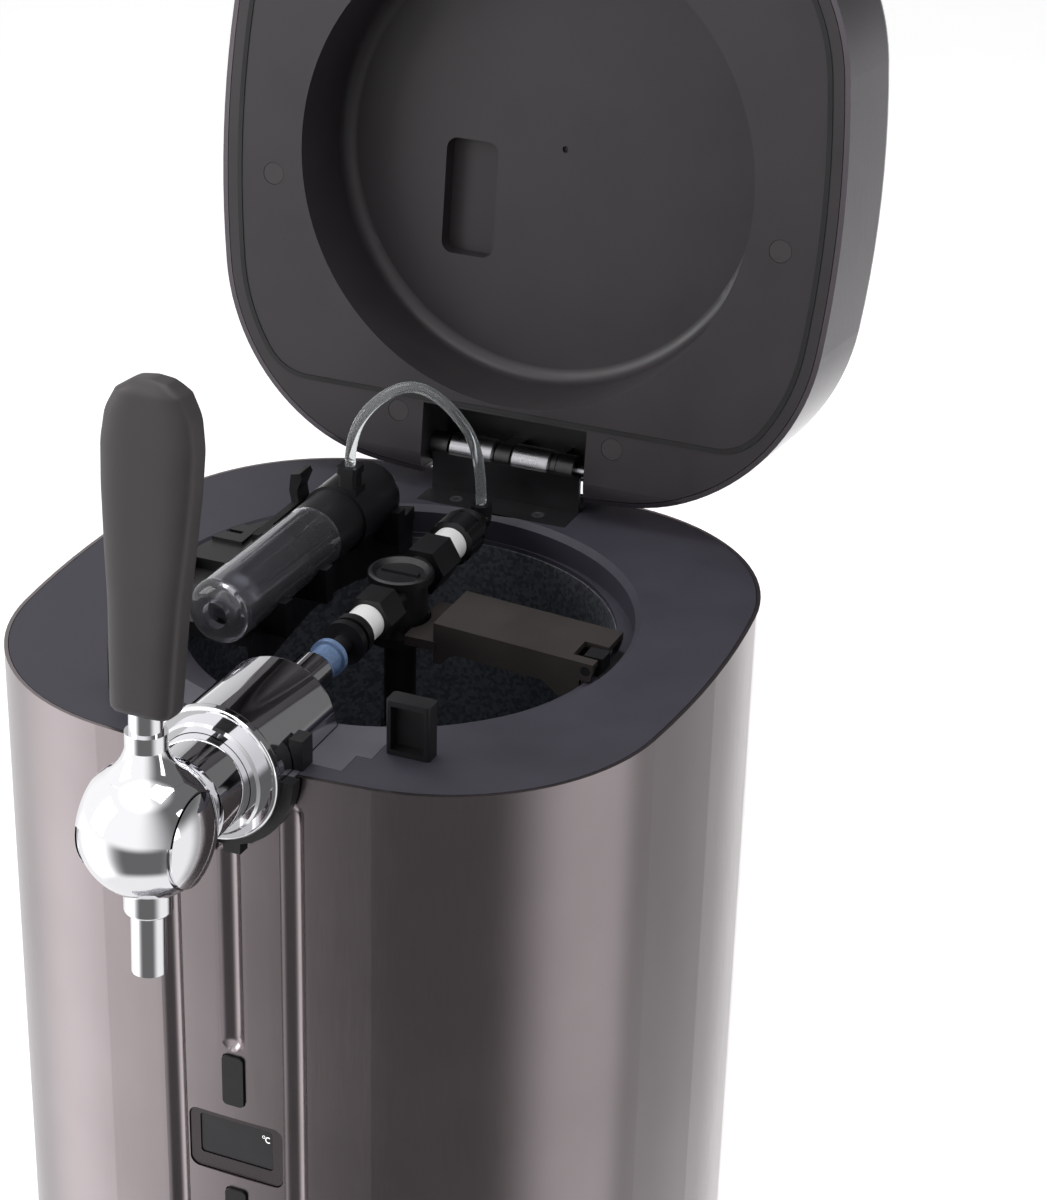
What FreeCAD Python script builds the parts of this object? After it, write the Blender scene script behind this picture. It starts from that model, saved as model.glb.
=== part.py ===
import FreeCAD, Part
import math
import os

Vec = FreeCAD.Vector
AXIS_X = Vec(1, 0, 0)
AXIS_Y = Vec(0, 1, 0)
AXIS_Z = Vec(0, 0, 1)
ORIGIN = Vec(0, 0, 0)

# Driving dimensions in millimetres and degrees
# +Z is up, the tap faces -Y, and the origin is the middle of the body on the table
# General clearances
fit_gap = 0.3
running_gap = 0.05
slip_gap = 0.2

# The keg that the well is made for, and the machine around it
keg_radius = 86.0
keg_height = 250.0
keg_gap = 0.5
coupler_room = 26.0
base_height = 99.0
well_radius = keg_radius + keg_gap
well_depth = keg_height + coupler_room
deck_height = well_depth + base_height
hole_margin = 11.0
hole_radius = well_radius + hole_margin

# Body: a rounded square of four long arcs joined by four corner arcs
side_margin = 40.0
end_margin = 39.5
body_width = 2 * (hole_radius + side_margin)
body_depth = 2 * (hole_radius + end_margin)
side_radius = 474.0
corner_radius = 89.0
shell_wall = 1.5

# Feet and base
foot_height = 8.0
foot_radius = 12.0
foot_spacing = 180.0
pan_thickness = 4.0
pan_rim_height = 18.0
pan_rim_wall = 2.5
vent_slot_width = 4.0
vent_slot_pitch = 9.0

# Front flutes
flute_spacing = 26.0
flute_radius = 5.6
flute_width = 10.0
flute_top_drop = 11.0
flute_bottom_height = 62.0
middle_flute_top_drop = 34.0

# Buttons and display, heights as drops below the deck
button_width = 9.0
button_height = 22.4
button_corner = 2.0
button_proud = 1.2
upper_button_drop = 139.8
lower_button_drop = 202.4
button_flange = 1.5
button_travel = 1.0
panel_width = 40.0
panel_height = 27.0
panel_drop = 171.5
panel_corner = 4.0
panel_sink = 1.0
window_width = 31.0
window_height = 18.0
window_drop = 169.3
window_corner = 1.5
window_sink = 0.5
board_setback = 13.0
board_width = 44.0
board_height = 100.0
board_thickness = 1.6

# Deck and keg well
deck_thickness = 4.0
hole_centre_y = 1.5
hole_chamfer = 2.5
skirt_depth = 12.0
skirt_wall = 2.5
well_axis_y = 11.5
well_wall = 1.2
well_floor = 3.0
foam_wall = 16.0

# Cooling unit under the well
cold_block_side = 50.0
cold_block_height = 24.0
peltier_side = 40.0
peltier_thickness = 3.8
sink_width = 120.0
sink_depth = 100.0
sink_base = 6.0
sink_fin_thickness = 2.0
fan_side = 80.0
fan_thickness = 20.0
fan_bore_radius = 37.5
fan_blade_radius = 36.0
fan_hub_radius = 14.0
fan_shaft_radius = 1.5
fan_blades = 7
supply_width = 46.0
supply_length = 110.0
supply_height = 36.0
supply_setback = 48.5
supply_x = body_width / 2 - supply_setback
inlet_width = 30.0
inlet_height = 22.0
inlet_depth = 24.0
inlet_cavity_width = 24.0
inlet_cavity_height = 16.0
inlet_cavity_depth = 17.0
inlet_flange = 4.0
inlet_drop = 42.0
grille_width = 110.0
grille_height = 52.0
grille_z = 52.0
grille_slots = 9

# Tap, set out from the middle of its ball along a slightly raised axis
tap_tilt = 2.5
tap_reach = body_depth / 2 + 57.3
tap_rise = 2.2
ball_radius = 24.7
ball_flat = 17.2
hood_gap = 0.25
hood_wall = 0.95
hood_front_angle = 16.0
hood_rear_angle = 128.0
ear_thickness = 1.2
ear_radius = 16.5
pivot_radius = 3.0
side_cap_radius = 17.5
side_cap_thickness = 4.0
neck_radius = 18.5
neck_root_radius = 16.8
neck_end = 46.0
tap_nut_radius = 22.0
tap_nut_length = 5.0
tap_flange_radius = 26.2
tap_flange_thickness = 5.0
barrel_radius = 24.6
barrel_wall = 2.0
barrel_end = 101.0
barrel_round = 3.0
rear_nut_length = 8.0
spout_radius = 6.4
spout_bore_radius = 4.6
spout_length = 56.0
spout_collar_radius = 8.8
spout_collar_length = 9.0
collar_radius = 7.6
collar_top = 38.0
stalk_radius = 6.1
stalk_top = 52.0
handle_lean = 6.5
handle_bottom = 45.5
handle_thickness = 14.5
handle_edge_round = 2.6
plunger_radius = 2.5
plunger_head_radius = 4.5

# Tap seat in the deck
trough_wall = 2.5
saddle_steps = [(46.7, 24.0), (40.8, 11.5), (28.0, 8.0)]
mount_ring_width = 4.0
lug_length = 14.0
lug_setback = 13.0
catch_x = 58.0
catch_setback = 30.0
catch_width = 17.5
catch_depth = 8.0
catch_height = 22.0
catch_wall = 2.2

# Beer line and keg coupler
line_rise = 3.0
push_body_radius = 8.0
collet_radius = 6.2
collet_end = 56.0
collet_rim_radius = 7.5
stem_radius = 3.9
stem_ring_radius = 9.0
collar_white_radius = 7.3
union_nut_width = 18.0
coupler_tube_radius = 7.0
coupler_body_radius = 11.0
cap_disc_radius = 13.2
cap_disc_thickness = 3.6
cap_dish_depth = 1.8
riser_radius = 6.5
riser_drop = 62.0
riser_tip_radius = 4.2
riser_bore_radius = 2.6
riser_clear = 10.0
elbow_y = 88.8
elbow_arm_radius = 4.6
elbow_arm_top = 9.5
barb_radius = 1.5

# Swing-up arm
arm_hinge_x = 86.0
arm_hinge_drop = 7.0
arm_inner_x = 21.5
arm_outer_x = 89.2
arm_width = 32.0
arm_wall = 2.5
arm_notch_width = 12.0
arm_notch_start = 79.0
fork_thickness = 5.0
fork_inner_x = 9.0
arm_pin_radius = 2.0

# Gas holder on the left of the deck
holder_x = -46.0
holder_rise = 12.0
holder_turn = 1.6
sleeve_radius = 13.5
sleeve_wall = 1.6
sleeve_front = -57.0
sleeve_end = 23.0
sleeve_hole_radius = 5.5
sleeve_round = 6.0
collar_end = 43.0
regulator_radius = 14.8
regulator_end = 80.5
regulator_round = 9.5
cartridge_radius = 11.0
cartridge_neck_radius = 4.0
fitting_x = -40.0
fitting_y = 45.5
fitting_side = 7.6
fitting_flange_side = 9.2
fitting_flange_thickness = 3.0
fitting_top = 35.5
gas_tube_radius = 2.3
shelf_front = 9.0
clip_hinge_x = -70.0
clip_hinge_rise = 3.0
clip_pin_radius = 1.5
clip_front = 12.0
clip_back = 56.0
clip_tab_front = 42.0
clip_tab_top = 27.0

# Lid, modelled shut and then swung open
lid_open_angle = 96.3
lid_gap = 0.6
lid_height = 62.0
lid_wall = 2.2
lid_edge_round = 11.0
liner_wall = 2.4
recess_radius = hole_radius + 3.0
recess_floor_radius = hole_radius - 0.5
recess_depth = 36.0
recess_round = 6.0
pocket_x = -37.0
pocket_y = 21.5
pocket_width = 24.0
pocket_length = 50.0
pocket_depth = 8.0
pocket_corner = 5.0
gasket_inset = 7.0
gasket_corner = 24.0
screw_cap_radius = 4.6
screw_cap_side_setback = 24.5
screw_cap_side_x = body_width / 2 - screw_cap_side_setback
screw_cap_side_y = 15.0
screw_cap_end_x = 49.0
screw_cap_end_setback = 28.0
screw_cap_end_y = body_depth / 2 - screw_cap_end_setback
front_cap_x = 88.0
front_cap_y = 92.0
notch_half_width = 37.5
notch_setback = 33.7
notch_front_y = body_depth / 2 - notch_setback
notch_height = 32.0
arch_gap = 2.0

# Hinge
hinge_setback = 11.0
hinge_y = body_depth / 2 - hinge_setback
hinge_rise = 15.0
hinge_pin_radius = 2.5
hinge_pin_right = 33.0
hinge_foot_thickness = 2.0
hinge_foot_front = hinge_y - 25.0
hinge_screw_x = 19.0
hinge_screw_y = hinge_y - 18.0
knuckle_radius = 6.5
knuckles = [(-37.0, -29.0), (21.5, 29.0)]
damper_radius = 7.0
dampers = [(-28.4, -7.6), (0.6, 18.4)]
leaf_ear = (-6.9, -0.1)
leaf_thickness = 2.5

# Drip tray
tray_width = 170.0
tray_reach = 104.0
tray_height = 34.0
tray_wall = 2.2
tray_corner = 40.0
grid_thickness = 2.0
grid_slot_width = 5.0
grid_slot_pitch = 10.0

# Places worked out from the driving dimensions
front_y = -body_depth / 2
back_y = body_depth / 2
catch_y = front_y + catch_setback + catch_depth / 2
shell_bottom = foot_height + pan_thickness
line_z = deck_height + line_rise
well_bottom = deck_height - well_depth
tap_centre = Vec(0, -tap_reach, deck_height + tap_rise)
hinge_point = Vec(0, hinge_y, deck_height + hinge_rise)
holder_point = Vec(holder_x, 0, deck_height + holder_rise)
lid_bottom = deck_height + lid_gap
barrel_bore = barrel_radius + fit_gap

os.makedirs("parts", exist_ok=True)


def save(name, shape):
    """Write one sub-part."""
    shape.exportStep("parts/" + name + ".step")


# Shape helpers
def block(x0, x1, y0, y1, z0, z1):
    return Part.makeBox(x1 - x0, y1 - y0, z1 - z0, Vec(x0, y0, z0))


def rod(radius, start, end):
    start, end = Vec(*start), Vec(*end)
    return Part.makeCylinder(radius, (end - start).Length, start, end - start)


def pipe(outer, inner, start, end):
    return rod(outer, start, end).cut(rod(inner, start, end))


def cone(r0, r1, start, end):
    start, end = Vec(*start), Vec(*end)
    return Part.makeCone(r0, r1, (end - start).Length, start, end - start)


def join(*shapes):
    whole = shapes[0]
    for shape in shapes[1:]:
        whole = whole.fuse(shape)
    return whole.removeSplitter()


def group(shapes):
    return Part.makeCompound(shapes)


def edges_along(shape, axis):
    """The straight edges of a shape that run along an axis."""
    found = []
    for edge in shape.Edges:
        if isinstance(edge.Curve, Part.Line) and abs(edge.Curve.Direction.dot(axis)) > 0.999:
            found.append(edge)
    return found


def rounded_block(x0, x1, y0, y1, z0, z1, radius, axis):
    shape = block(x0, x1, y0, y1, z0, z1)
    return shape.makeFillet(radius, edges_along(shape, axis))


def hexagon(width, start, end):
    """A hexagonal bar of a width across its flats, along Y."""
    corner = width / math.sqrt(3)
    points = []
    for step in range(7):
        turn = math.radians(60 * step)
        points.append(Vec(start[0] + corner * math.cos(turn), start[1], start[2] + corner * math.sin(turn)))
    return Part.Face(Part.makePolygon(points)).extrude(Vec(0, end[1] - start[1], 0))


def outline_points(inset):
    """The four side centres, four corner centres and the two radii of the body's outline."""
    half_x, half_y = body_width / 2, body_depth / 2
    side_x, side_y = side_radius - half_x, side_radius - half_y
    reach = side_radius - corner_radius
    half_gap = math.hypot(side_x, side_y) / 2
    out = math.sqrt(reach ** 2 - half_gap ** 2)
    lean = Vec(side_y, side_x, 0).normalize()
    corner = Vec(-side_x / 2, -side_y / 2, 0) + lean * out
    return Vec(-side_x, 0, 0), Vec(0, -side_y, 0), corner, side_radius - inset, corner_radius - inset


def outline_face(inset, z):
    """The body's outline, drawn in by an inset, as a face at a height."""
    right_centre, back_centre, corner, long_radius, short_radius = outline_points(inset)
    near_right = right_centre + (corner - right_centre).normalize() * long_radius
    near_back = back_centre + (corner - back_centre).normalize() * long_radius
    middle = corner + Vec(1, 1, 0).normalize() * short_radius
    right, back = right_centre.x + long_radius, back_centre.y + long_radius
    arcs = []
    for turn_x, turn_y in ((1, 1), (-1, 1), (-1, -1), (1, -1)):
        def at(point):
            return Vec(point.x * turn_x, point.y * turn_y, z)
        arcs.append(Part.Arc(at(Vec(right, 0, 0)), at(right_centre + Vec(
            math.cos(0.1), math.sin(0.1), 0) * long_radius), at(near_right)).toShape())
        arcs.append(Part.Arc(at(near_right), at(middle), at(near_back)).toShape())
        arcs.append(Part.Arc(at(near_back), at(back_centre + Vec(
            math.sin(0.1), math.cos(0.1), 0) * long_radius), at(Vec(0, back, 0))).toShape())
    return Part.Face(Part.Wire(Part.__sortEdges__(arcs)))


def body_block(inset, z0, z1):
    return outline_face(inset, z0).extrude(Vec(0, 0, z1 - z0))


def body_skin(outer_inset, inner_inset, z0, z1):
    return body_block(outer_inset, z0, z1).cut(body_block(inner_inset, z0 - 1, z1 + 1))


def front_at(x):
    """The Y of the body's front face at a distance from its middle."""
    return front_y + side_radius - math.sqrt(side_radius ** 2 - x ** 2)


def tap_at(shape):
    """Set a tap shape from its own axis into the machine."""
    shape = shape.copy()
    shape.rotate(ORIGIN, AXIS_X, -tap_tilt)
    shape.translate(tap_centre)
    return shape


def holder_at(shape):
    """Set a gas holder shape from its own axis into the machine."""
    shape = shape.copy()
    shape.rotate(ORIGIN, AXIS_Z, -holder_turn)
    shape.translate(holder_point)
    return shape


def lid_at(shape):
    """Swing a lid shape from shut to open about the hinge."""
    shape = shape.copy()
    shape.rotate(hinge_point, AXIS_X, -lid_open_angle)
    return shape


def tap_rod(radius, y0, y1, x=0.0, z=0.0):
    return rod(radius, (x, y0, z), (x, y1, z))


# Body shell with its flutes, slots and tap notch
shell = body_skin(0, shell_wall, shell_bottom, deck_height)
flutes = []
flute_places = ((-flute_spacing, flute_top_drop), (0, middle_flute_top_drop), (flute_spacing, flute_top_drop))
for flute_x, flute_drop in flute_places:
    face = front_at(flute_x)
    centre_y = face - math.sqrt(flute_radius ** 2 - (flute_width / 2) ** 2)
    top = deck_height - flute_drop - flute_width / 2
    runs = [(flute_bottom_height, top)]
    if flute_x == 0:
        panel_top = deck_height - upper_button_drop + button_height / 2 + button_corner
        panel_foot = deck_height - lower_button_drop - button_height / 2 - button_corner
        runs = [(panel_top + flute_width / 2, top), (flute_bottom_height, panel_foot - flute_width / 2)]
    for low, high in runs:
        grown = flute_radius + shell_wall
        outer = rod(grown, (flute_x, centre_y, low), (flute_x, centre_y, high))
        outer = join(outer, Part.makeSphere(grown, Vec(flute_x, centre_y, low)),
                     Part.makeSphere(grown, Vec(flute_x, centre_y, high)))
        inner = rod(flute_radius, (flute_x, centre_y, low), (flute_x, centre_y, high))
        inner = join(inner, Part.makeSphere(flute_radius, Vec(flute_x, centre_y, low)),
                     Part.makeSphere(flute_radius, Vec(flute_x, centre_y, high)))
        flutes.append((outer, inner))
for outer, inner in flutes:
    shell = shell.fuse(outer.common(body_block(0, shell_bottom, deck_height)))
for outer, inner in flutes:
    shell = shell.cut(inner)
for drop in (upper_button_drop, lower_button_drop):
    middle = deck_height - drop
    shell = shell.cut(rounded_block(
        -button_width / 2 - fit_gap, button_width / 2 + fit_gap, front_y - 5, front_y + 8,
        middle - button_height / 2 - fit_gap, middle + button_height / 2 + fit_gap, button_corner, AXIS_Y))
panel_z = deck_height - panel_drop
shell = shell.cut(rounded_block(
    -panel_width / 2 - fit_gap, panel_width / 2 + fit_gap, front_y - 5, front_y + 8,
    panel_z - panel_height / 2 - fit_gap, panel_z + panel_height / 2 + fit_gap, panel_corner, AXIS_Y))
trough_outer = barrel_bore + trough_wall
shell = shell.cut(tap_at(tap_rod(trough_outer + fit_gap, 50, 70)))
shell = shell.cut(block(-trough_outer - fit_gap, trough_outer + fit_gap, front_y - 2, front_y + 6,
                        deck_height - 1, deck_height + 1))
grille_low, grille_high = grille_z + 30, grille_z + 30 + grille_height
shell = shell.cut(block(-grille_width / 2 - fit_gap, grille_width / 2 + fit_gap, back_y - 27, back_y + 13,
                        grille_low - fit_gap, grille_high + fit_gap))
inlet_z = inlet_drop
shell = shell.cut(block(-inlet_width / 2 - fit_gap, inlet_width / 2 + fit_gap, back_y - 17, back_y + 13,
                        inlet_z - inlet_height / 2 - fit_gap, inlet_z + inlet_height / 2 + fit_gap))
save("body_shell", shell)

# Base pan with its rim, fan slots and the rails that hold the drip tray
pan = body_block(0, foot_height, shell_bottom)
pan = pan.fuse(body_skin(shell_wall + fit_gap, shell_wall + fit_gap + pan_rim_wall, shell_bottom,
                         foot_height + pan_rim_height))
slot_x = -4 * vent_slot_pitch
for step in range(9):
    x = slot_x + step * vent_slot_pitch
    pan = pan.cut(block(x - vent_slot_width / 2, x + vent_slot_width / 2, well_axis_y - 34, well_axis_y + 34,
                        foot_height - 1, shell_bottom + 1))
tongue_half = 60.0
rail_wall = 3.5
for side in (-1, 1):
    x_in, x_out = side * (tongue_half + fit_gap), side * (tongue_half + fit_gap + rail_wall)
    pan = pan.fuse(block(min(x_in, x_out), max(x_in, x_out), front_y + 15, front_y + 87, 1.5, foot_height))
    lip = side * (tongue_half - 4)
    pan = pan.fuse(block(min(lip, x_out), max(lip, x_out), front_y + 15, front_y + 87, 1.5, 3.2))
save("base_pan", pan.removeSplitter())
feet = []
for x in (-foot_spacing / 2, foot_spacing / 2):
    for y in (-foot_spacing / 2, foot_spacing / 2):
        foot = rod(foot_radius, (x, y, 0), (x, y, foot_height))
        feet.append(foot.makeChamfer(1.5, [edge for edge in foot.Edges if edge.BoundBox.ZMax < 0.1]))
save("rubber_feet", group(feet))

# Rear grille and power inlet
grille = body_skin(0, 3.0, grille_low, grille_high).common(
    block(-grille_width / 2, grille_width / 2, back_y - 27, back_y + 13, grille_low, grille_high))
flange = body_skin(shell_wall + fit_gap, 3.2, grille_low - 4, grille_high + 4).common(
    block(-grille_width / 2 - 4, grille_width / 2 + 4, back_y - 27, back_y + 13, grille_low - 4, grille_high + 4))
grille = grille.fuse(flange)
for step in range(grille_slots):
    z = grille_low + 5 + step * (grille_height - 10) / (grille_slots - 1)
    for x0, x1 in ((-grille_width / 2 + 5, -2), (2, grille_width / 2 - 5)):
        grille = grille.cut(block(x0, x1, back_y - 27, back_y + 13, z - 1.5, z + 1.5))
save("rear_grille", grille.removeSplitter())
inlet_y = back_y
inlet = rounded_block(-inlet_width / 2, inlet_width / 2, inlet_y - inlet_depth, inlet_y,
                      inlet_z - inlet_height / 2, inlet_z + inlet_height / 2, 2.0, AXIS_Y)
inlet = inlet.fuse(rounded_block(
    -inlet_width / 2 - inlet_flange, inlet_width / 2 + inlet_flange, inlet_y + 0.1, inlet_y + 2.1,
    inlet_z - inlet_height / 2 - inlet_flange, inlet_z + inlet_height / 2 + inlet_flange, 3.0, AXIS_Y))
inlet = inlet.fuse(block(-inlet_width / 2 + 1, inlet_width / 2 - 1, inlet_y - 1, inlet_y + 1,
                         inlet_z - inlet_height / 2 + 1, inlet_z + inlet_height / 2 - 1))
inlet = inlet.cut(rounded_block(
    -inlet_cavity_width / 2, inlet_cavity_width / 2, inlet_y - inlet_cavity_depth, inlet_y + 3,
    inlet_z - inlet_cavity_height / 2, inlet_z + inlet_cavity_height / 2, 2.0, AXIS_Y))
for x, z in ((-7, 0), (7, 0), (0, 3.5)):
    inlet = inlet.fuse(block(x - 1, x + 1, inlet_y - inlet_cavity_depth - 1, inlet_y - 5,
                             inlet_z + z - 2, inlet_z + z + 2))
save("power_inlet", inlet.removeSplitter())

# Top deck with the skirt and ledge around the keg opening
deck_inset = shell_wall + fit_gap
deck_low = deck_height - deck_thickness
ledge_z = deck_height - skirt_depth
deck = body_block(deck_inset, deck_low, deck_height)
deck = deck.fuse(rod(hole_radius + skirt_wall, (0, hole_centre_y, ledge_z - 2), (0, hole_centre_y, deck_low)))
deck = deck.cut(rod(hole_radius, (0, hole_centre_y, ledge_z), (0, hole_centre_y, deck_height + 1)))
deck = deck.cut(cone(hole_radius, hole_radius + hole_chamfer, (0, hole_centre_y, deck_height - hole_chamfer),
                     (0, hole_centre_y, deck_height)))
deck = deck.cut(rod(well_radius + 0.5, (0, well_axis_y, ledge_z - 5), (0, well_axis_y, deck_height + 1)))
for outer, inner in flutes:
    deck = deck.cut(outer)


def saddle_face(grow, z):
    """The stepped plate around the tap barrel, grown by a gap."""
    half = []
    for x, setback in saddle_steps:
        half.append((x + grow, -front_y - setback + grow))
    points = [(-half[0][0], -front_y - 77), (half[0][0], -front_y - 77)]
    y_before = None
    for x, y in half:
        if y_before is not None:
            points.append((x, y_before))
        points.append((x, y))
        y_before = y
    mirrored = [(-x, y) for x, y in reversed(points[2:])]
    outline = [Vec(x, -y, z) for x, y in points + mirrored]
    outline.append(outline[0])
    return Part.Face(Part.makePolygon(outline))


saddle_low = deck_height - 2.5
inside_hole = rod(hole_radius + 1.6, (0, hole_centre_y, 0), (0, hole_centre_y, deck_height + 9))
pocket = saddle_face(slip_gap, saddle_low).extrude(Vec(0, 0, 5))
deck = deck.cut(pocket.common(block(-60, 60, front_y - 3, front_y + 57, 0, deck_height + 9)))
slot_half = trough_outer + fit_gap
deck = deck.cut(tap_at(tap_rod(slot_half, 55, 101)))
deck = deck.cut(block(-slot_half, slot_half, front_y - 3, front_y + 49, deck_height - 6, deck_height + 1))
foot_low = deck_height - hinge_foot_thickness
deck = deck.cut(block(-34.2, 34.2, hinge_foot_front - slip_gap, hinge_y - 2 + slip_gap, foot_low, deck_height + 1))
for x in (-hinge_screw_x, hinge_screw_x):
    deck = deck.cut(rod(1.6, (x, hinge_screw_y, deck_low - 1), (x, hinge_screw_y, deck_height)))
for x in (-catch_x, catch_x):
    deck = deck.cut(rod(3.0, (x, catch_y, deck_low - 1), (x, catch_y, deck_height + 1)))
save("top_deck", deck.removeSplitter())

# Tap saddle with the half-round trough
saddle = saddle_face(0, saddle_low).extrude(Vec(0, 0, 2.5)).common(
    block(-60, 60, front_y + 4.5, front_y + 57, 0, deck_height + 9))
saddle = saddle.cut(inside_hole)
trough = tap_at(tap_rod(trough_outer, 57.5, 97.5))
trough = trough.common(block(-40, 40, front_y - 3, front_y + 57, deck_height - 60, deck_height))
saddle = saddle.fuse(trough).cut(tap_at(tap_rod(barrel_bore, 40, 110)))
saddle = saddle.cut(block(-barrel_bore, barrel_bore, front_y - 3, front_y + 57, deck_height - 2.4, deck_height + 5))
save("tap_saddle", saddle.removeSplitter())

# Cooling well and its foam jacket
well_floor_z = well_bottom - well_floor
well_top = ledge_z - 2
well = rod(well_radius + well_wall, (0, well_axis_y, well_floor_z), (0, well_axis_y, well_top))
well = well.cut(rod(well_radius, (0, well_axis_y, well_bottom), (0, well_axis_y, well_top + 1)))
save("cooling_well", well)
foam = rod(well_radius + well_wall + foam_wall, (0, well_axis_y, well_floor_z - 14),
           (0, well_axis_y, well_top - 22))
foam = foam.cut(rod(well_radius + well_wall + fit_gap, (0, well_axis_y, well_floor_z), (0, well_axis_y, well_top)))
half_block = cold_block_side / 2
foam = foam.cut(block(-half_block - fit_gap, half_block + fit_gap, well_axis_y - half_block - fit_gap,
                      well_axis_y + half_block + fit_gap, 0, well_floor_z + 1))
save("well_insulation", foam)

# Cooling stack under the well
z_block = well_floor_z - cold_block_height
z_cell = z_block - peltier_thickness
z_base = z_cell - sink_base
z_fan = shell_bottom + fan_thickness
save("cold_block", block(-half_block, half_block, well_axis_y - half_block, well_axis_y + half_block,
                         z_block, well_floor_z))
half_cell = peltier_side / 2
save("peltier_module", block(-half_cell, half_cell, well_axis_y - half_cell, well_axis_y + half_cell,
                             z_cell, z_block))
sink = block(-sink_width / 2, sink_width / 2, well_axis_y - sink_depth / 2, well_axis_y + sink_depth / 2,
             z_base, z_cell)
fin_count = 13
for step in range(fin_count):
    x = (step - (fin_count - 1) / 2) * vent_slot_pitch
    sink = sink.fuse(block(x - sink_fin_thickness / 2, x + sink_fin_thickness / 2, well_axis_y - sink_depth / 2,
                           well_axis_y + sink_depth / 2, z_fan, z_base))
save("heat_sink", sink.removeSplitter())
half_fan = fan_side / 2
frame = rounded_block(-half_fan, half_fan, well_axis_y - half_fan, well_axis_y + half_fan,
                      shell_bottom, z_fan, 5.0, AXIS_Z)
frame = frame.cut(rod(fan_bore_radius, (0, well_axis_y, 0), (0, well_axis_y, 60)))
frame = frame.fuse(rod(fan_hub_radius, (0, well_axis_y, shell_bottom), (0, well_axis_y, shell_bottom + 3)))
for x0, x1, y0, y1 in ((-39, 39, -2.5, 2.5), (-2.5, 2.5, -39, 39)):
    frame = frame.fuse(block(x0, x1, well_axis_y + y0, well_axis_y + y1, shell_bottom, shell_bottom + 3))
frame = frame.fuse(rod(fan_shaft_radius, (0, well_axis_y, shell_bottom + 2), (0, well_axis_y, z_fan - 4)))
for x in (-half_fan + 5, half_fan - 5):
    for y in (-half_fan + 5, half_fan - 5):
        frame = frame.cut(rod(2.2, (x, well_axis_y + y, 0), (x, well_axis_y + y, 60)))
save("fan_frame", frame.removeSplitter())
rotor = rod(fan_hub_radius, (0, 0, shell_bottom + 4), (0, 0, z_fan - 2))
for step in range(fan_blades):
    blade = block(fan_hub_radius - 1, fan_blade_radius, -9, 9, shell_bottom + 10, shell_bottom + 11.5)
    blade.rotate(Vec(0, 0, shell_bottom + 10.75), AXIS_X, 32)
    blade = blade.common(rod(fan_blade_radius, (0, 0, shell_bottom + 4.5), (0, 0, z_fan - 2)))
    blade.rotate(ORIGIN, AXIS_Z, step * 360 / fan_blades)
    rotor = rotor.fuse(blade)
rotor = rotor.cut(rod(fan_shaft_radius + running_gap, (0, 0, shell_bottom), (0, 0, z_fan - 3.5)))
rotor.translate(Vec(0, well_axis_y, 0))
save("fan_rotor", rotor.removeSplitter())
supply = rounded_block(supply_x - supply_width / 2, supply_x + supply_width / 2, -supply_length / 2,
                       supply_length / 2, shell_bottom, shell_bottom + supply_height, 2.0, AXIS_Z)
save("power_supply", supply)

# Front panel, buttons and control board
bezel_back = front_y + 4.0
panel_face = front_y + panel_sink
bezel = rounded_block(-panel_width / 2, panel_width / 2, panel_face, bezel_back, panel_z - panel_height / 2,
                      panel_z + panel_height / 2, panel_corner, AXIS_Y)
bezel = bezel.fuse(rounded_block(-panel_width / 2 + 1.5, panel_width / 2 - 1.5, front_y + 2.6, bezel_back,
                                 panel_z - panel_height / 2 - 3, panel_z + panel_height / 2 + 3, 4.0, AXIS_Y))
window_z = deck_height - window_drop
bezel = bezel.cut(rounded_block(-window_width / 2 - slip_gap, window_width / 2 + slip_gap, front_y - 2,
                                bezel_back + 2, window_z - window_height / 2 - slip_gap,
                                window_z + window_height / 2 + slip_gap, window_corner, AXIS_Y))
board_front = front_y + board_setback
for x in (-panel_width / 2 + 3.4, panel_width / 2 - 3.4):
    for z in (panel_z - 14, panel_z + 14):
        bezel = bezel.fuse(rod(1.8, (x, bezel_back - 0.5, z), (x, board_front, z)))
save("display_bezel", bezel.removeSplitter())
window = rounded_block(-window_width / 2, window_width / 2, panel_face + window_sink, bezel_back,
                       window_z - window_height / 2, window_z + window_height / 2, window_corner, AXIS_Y)
save("display_window", window)
button_back = front_y + 3.6
for name, drop in (("button_up", upper_button_drop), ("button_down", lower_button_drop)):
    middle = deck_height - drop
    low, high = middle - button_height / 2, middle + button_height / 2
    cap = rounded_block(-button_width / 2, button_width / 2, front_y - button_proud, button_back, low, high,
                        button_corner, AXIS_Y)
    cap = cap.fuse(block(-button_width / 2 - button_flange, button_width / 2 + button_flange, front_y + 2.1,
                         button_back, low - button_flange, high + button_flange))
    save(name, cap.removeSplitter())
board = block(-board_width / 2, board_width / 2, board_front, board_front + board_thickness,
              panel_z - board_height / 2, panel_z + board_height / 2)
for drop in (upper_button_drop, lower_button_drop):
    z = deck_height - drop
    board = board.fuse(rod(2.5, (0, button_back + button_travel + 0.15, z), (0, board_front, z)))
board = board.fuse(block(-window_width / 2 + 1, window_width / 2 - 1, bezel_back, board_front,
                         window_z - window_height / 2 + 1, window_z + window_height / 2 - 1))
save("control_board", board.removeSplitter())

# Lid catches on the deck
catches = []
for x in (-catch_x, catch_x):
    half = catch_width / 2
    post = rounded_block(x - half, x + half, catch_y - catch_depth / 2, catch_y + catch_depth / 2, deck_height,
                         deck_height + catch_height, 1.5, AXIS_Z)
    post = post.cut(block(x - half + catch_wall, x + half - catch_wall, catch_y - catch_depth, catch_y + 1,
                          deck_height + catch_wall, deck_height + catch_height - catch_wall))
    post = post.fuse(rod(2.9, (x, catch_y, deck_low), (x, catch_y, deck_height)))
    catches.append(post)
save("lid_catches", group(catches))

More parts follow.
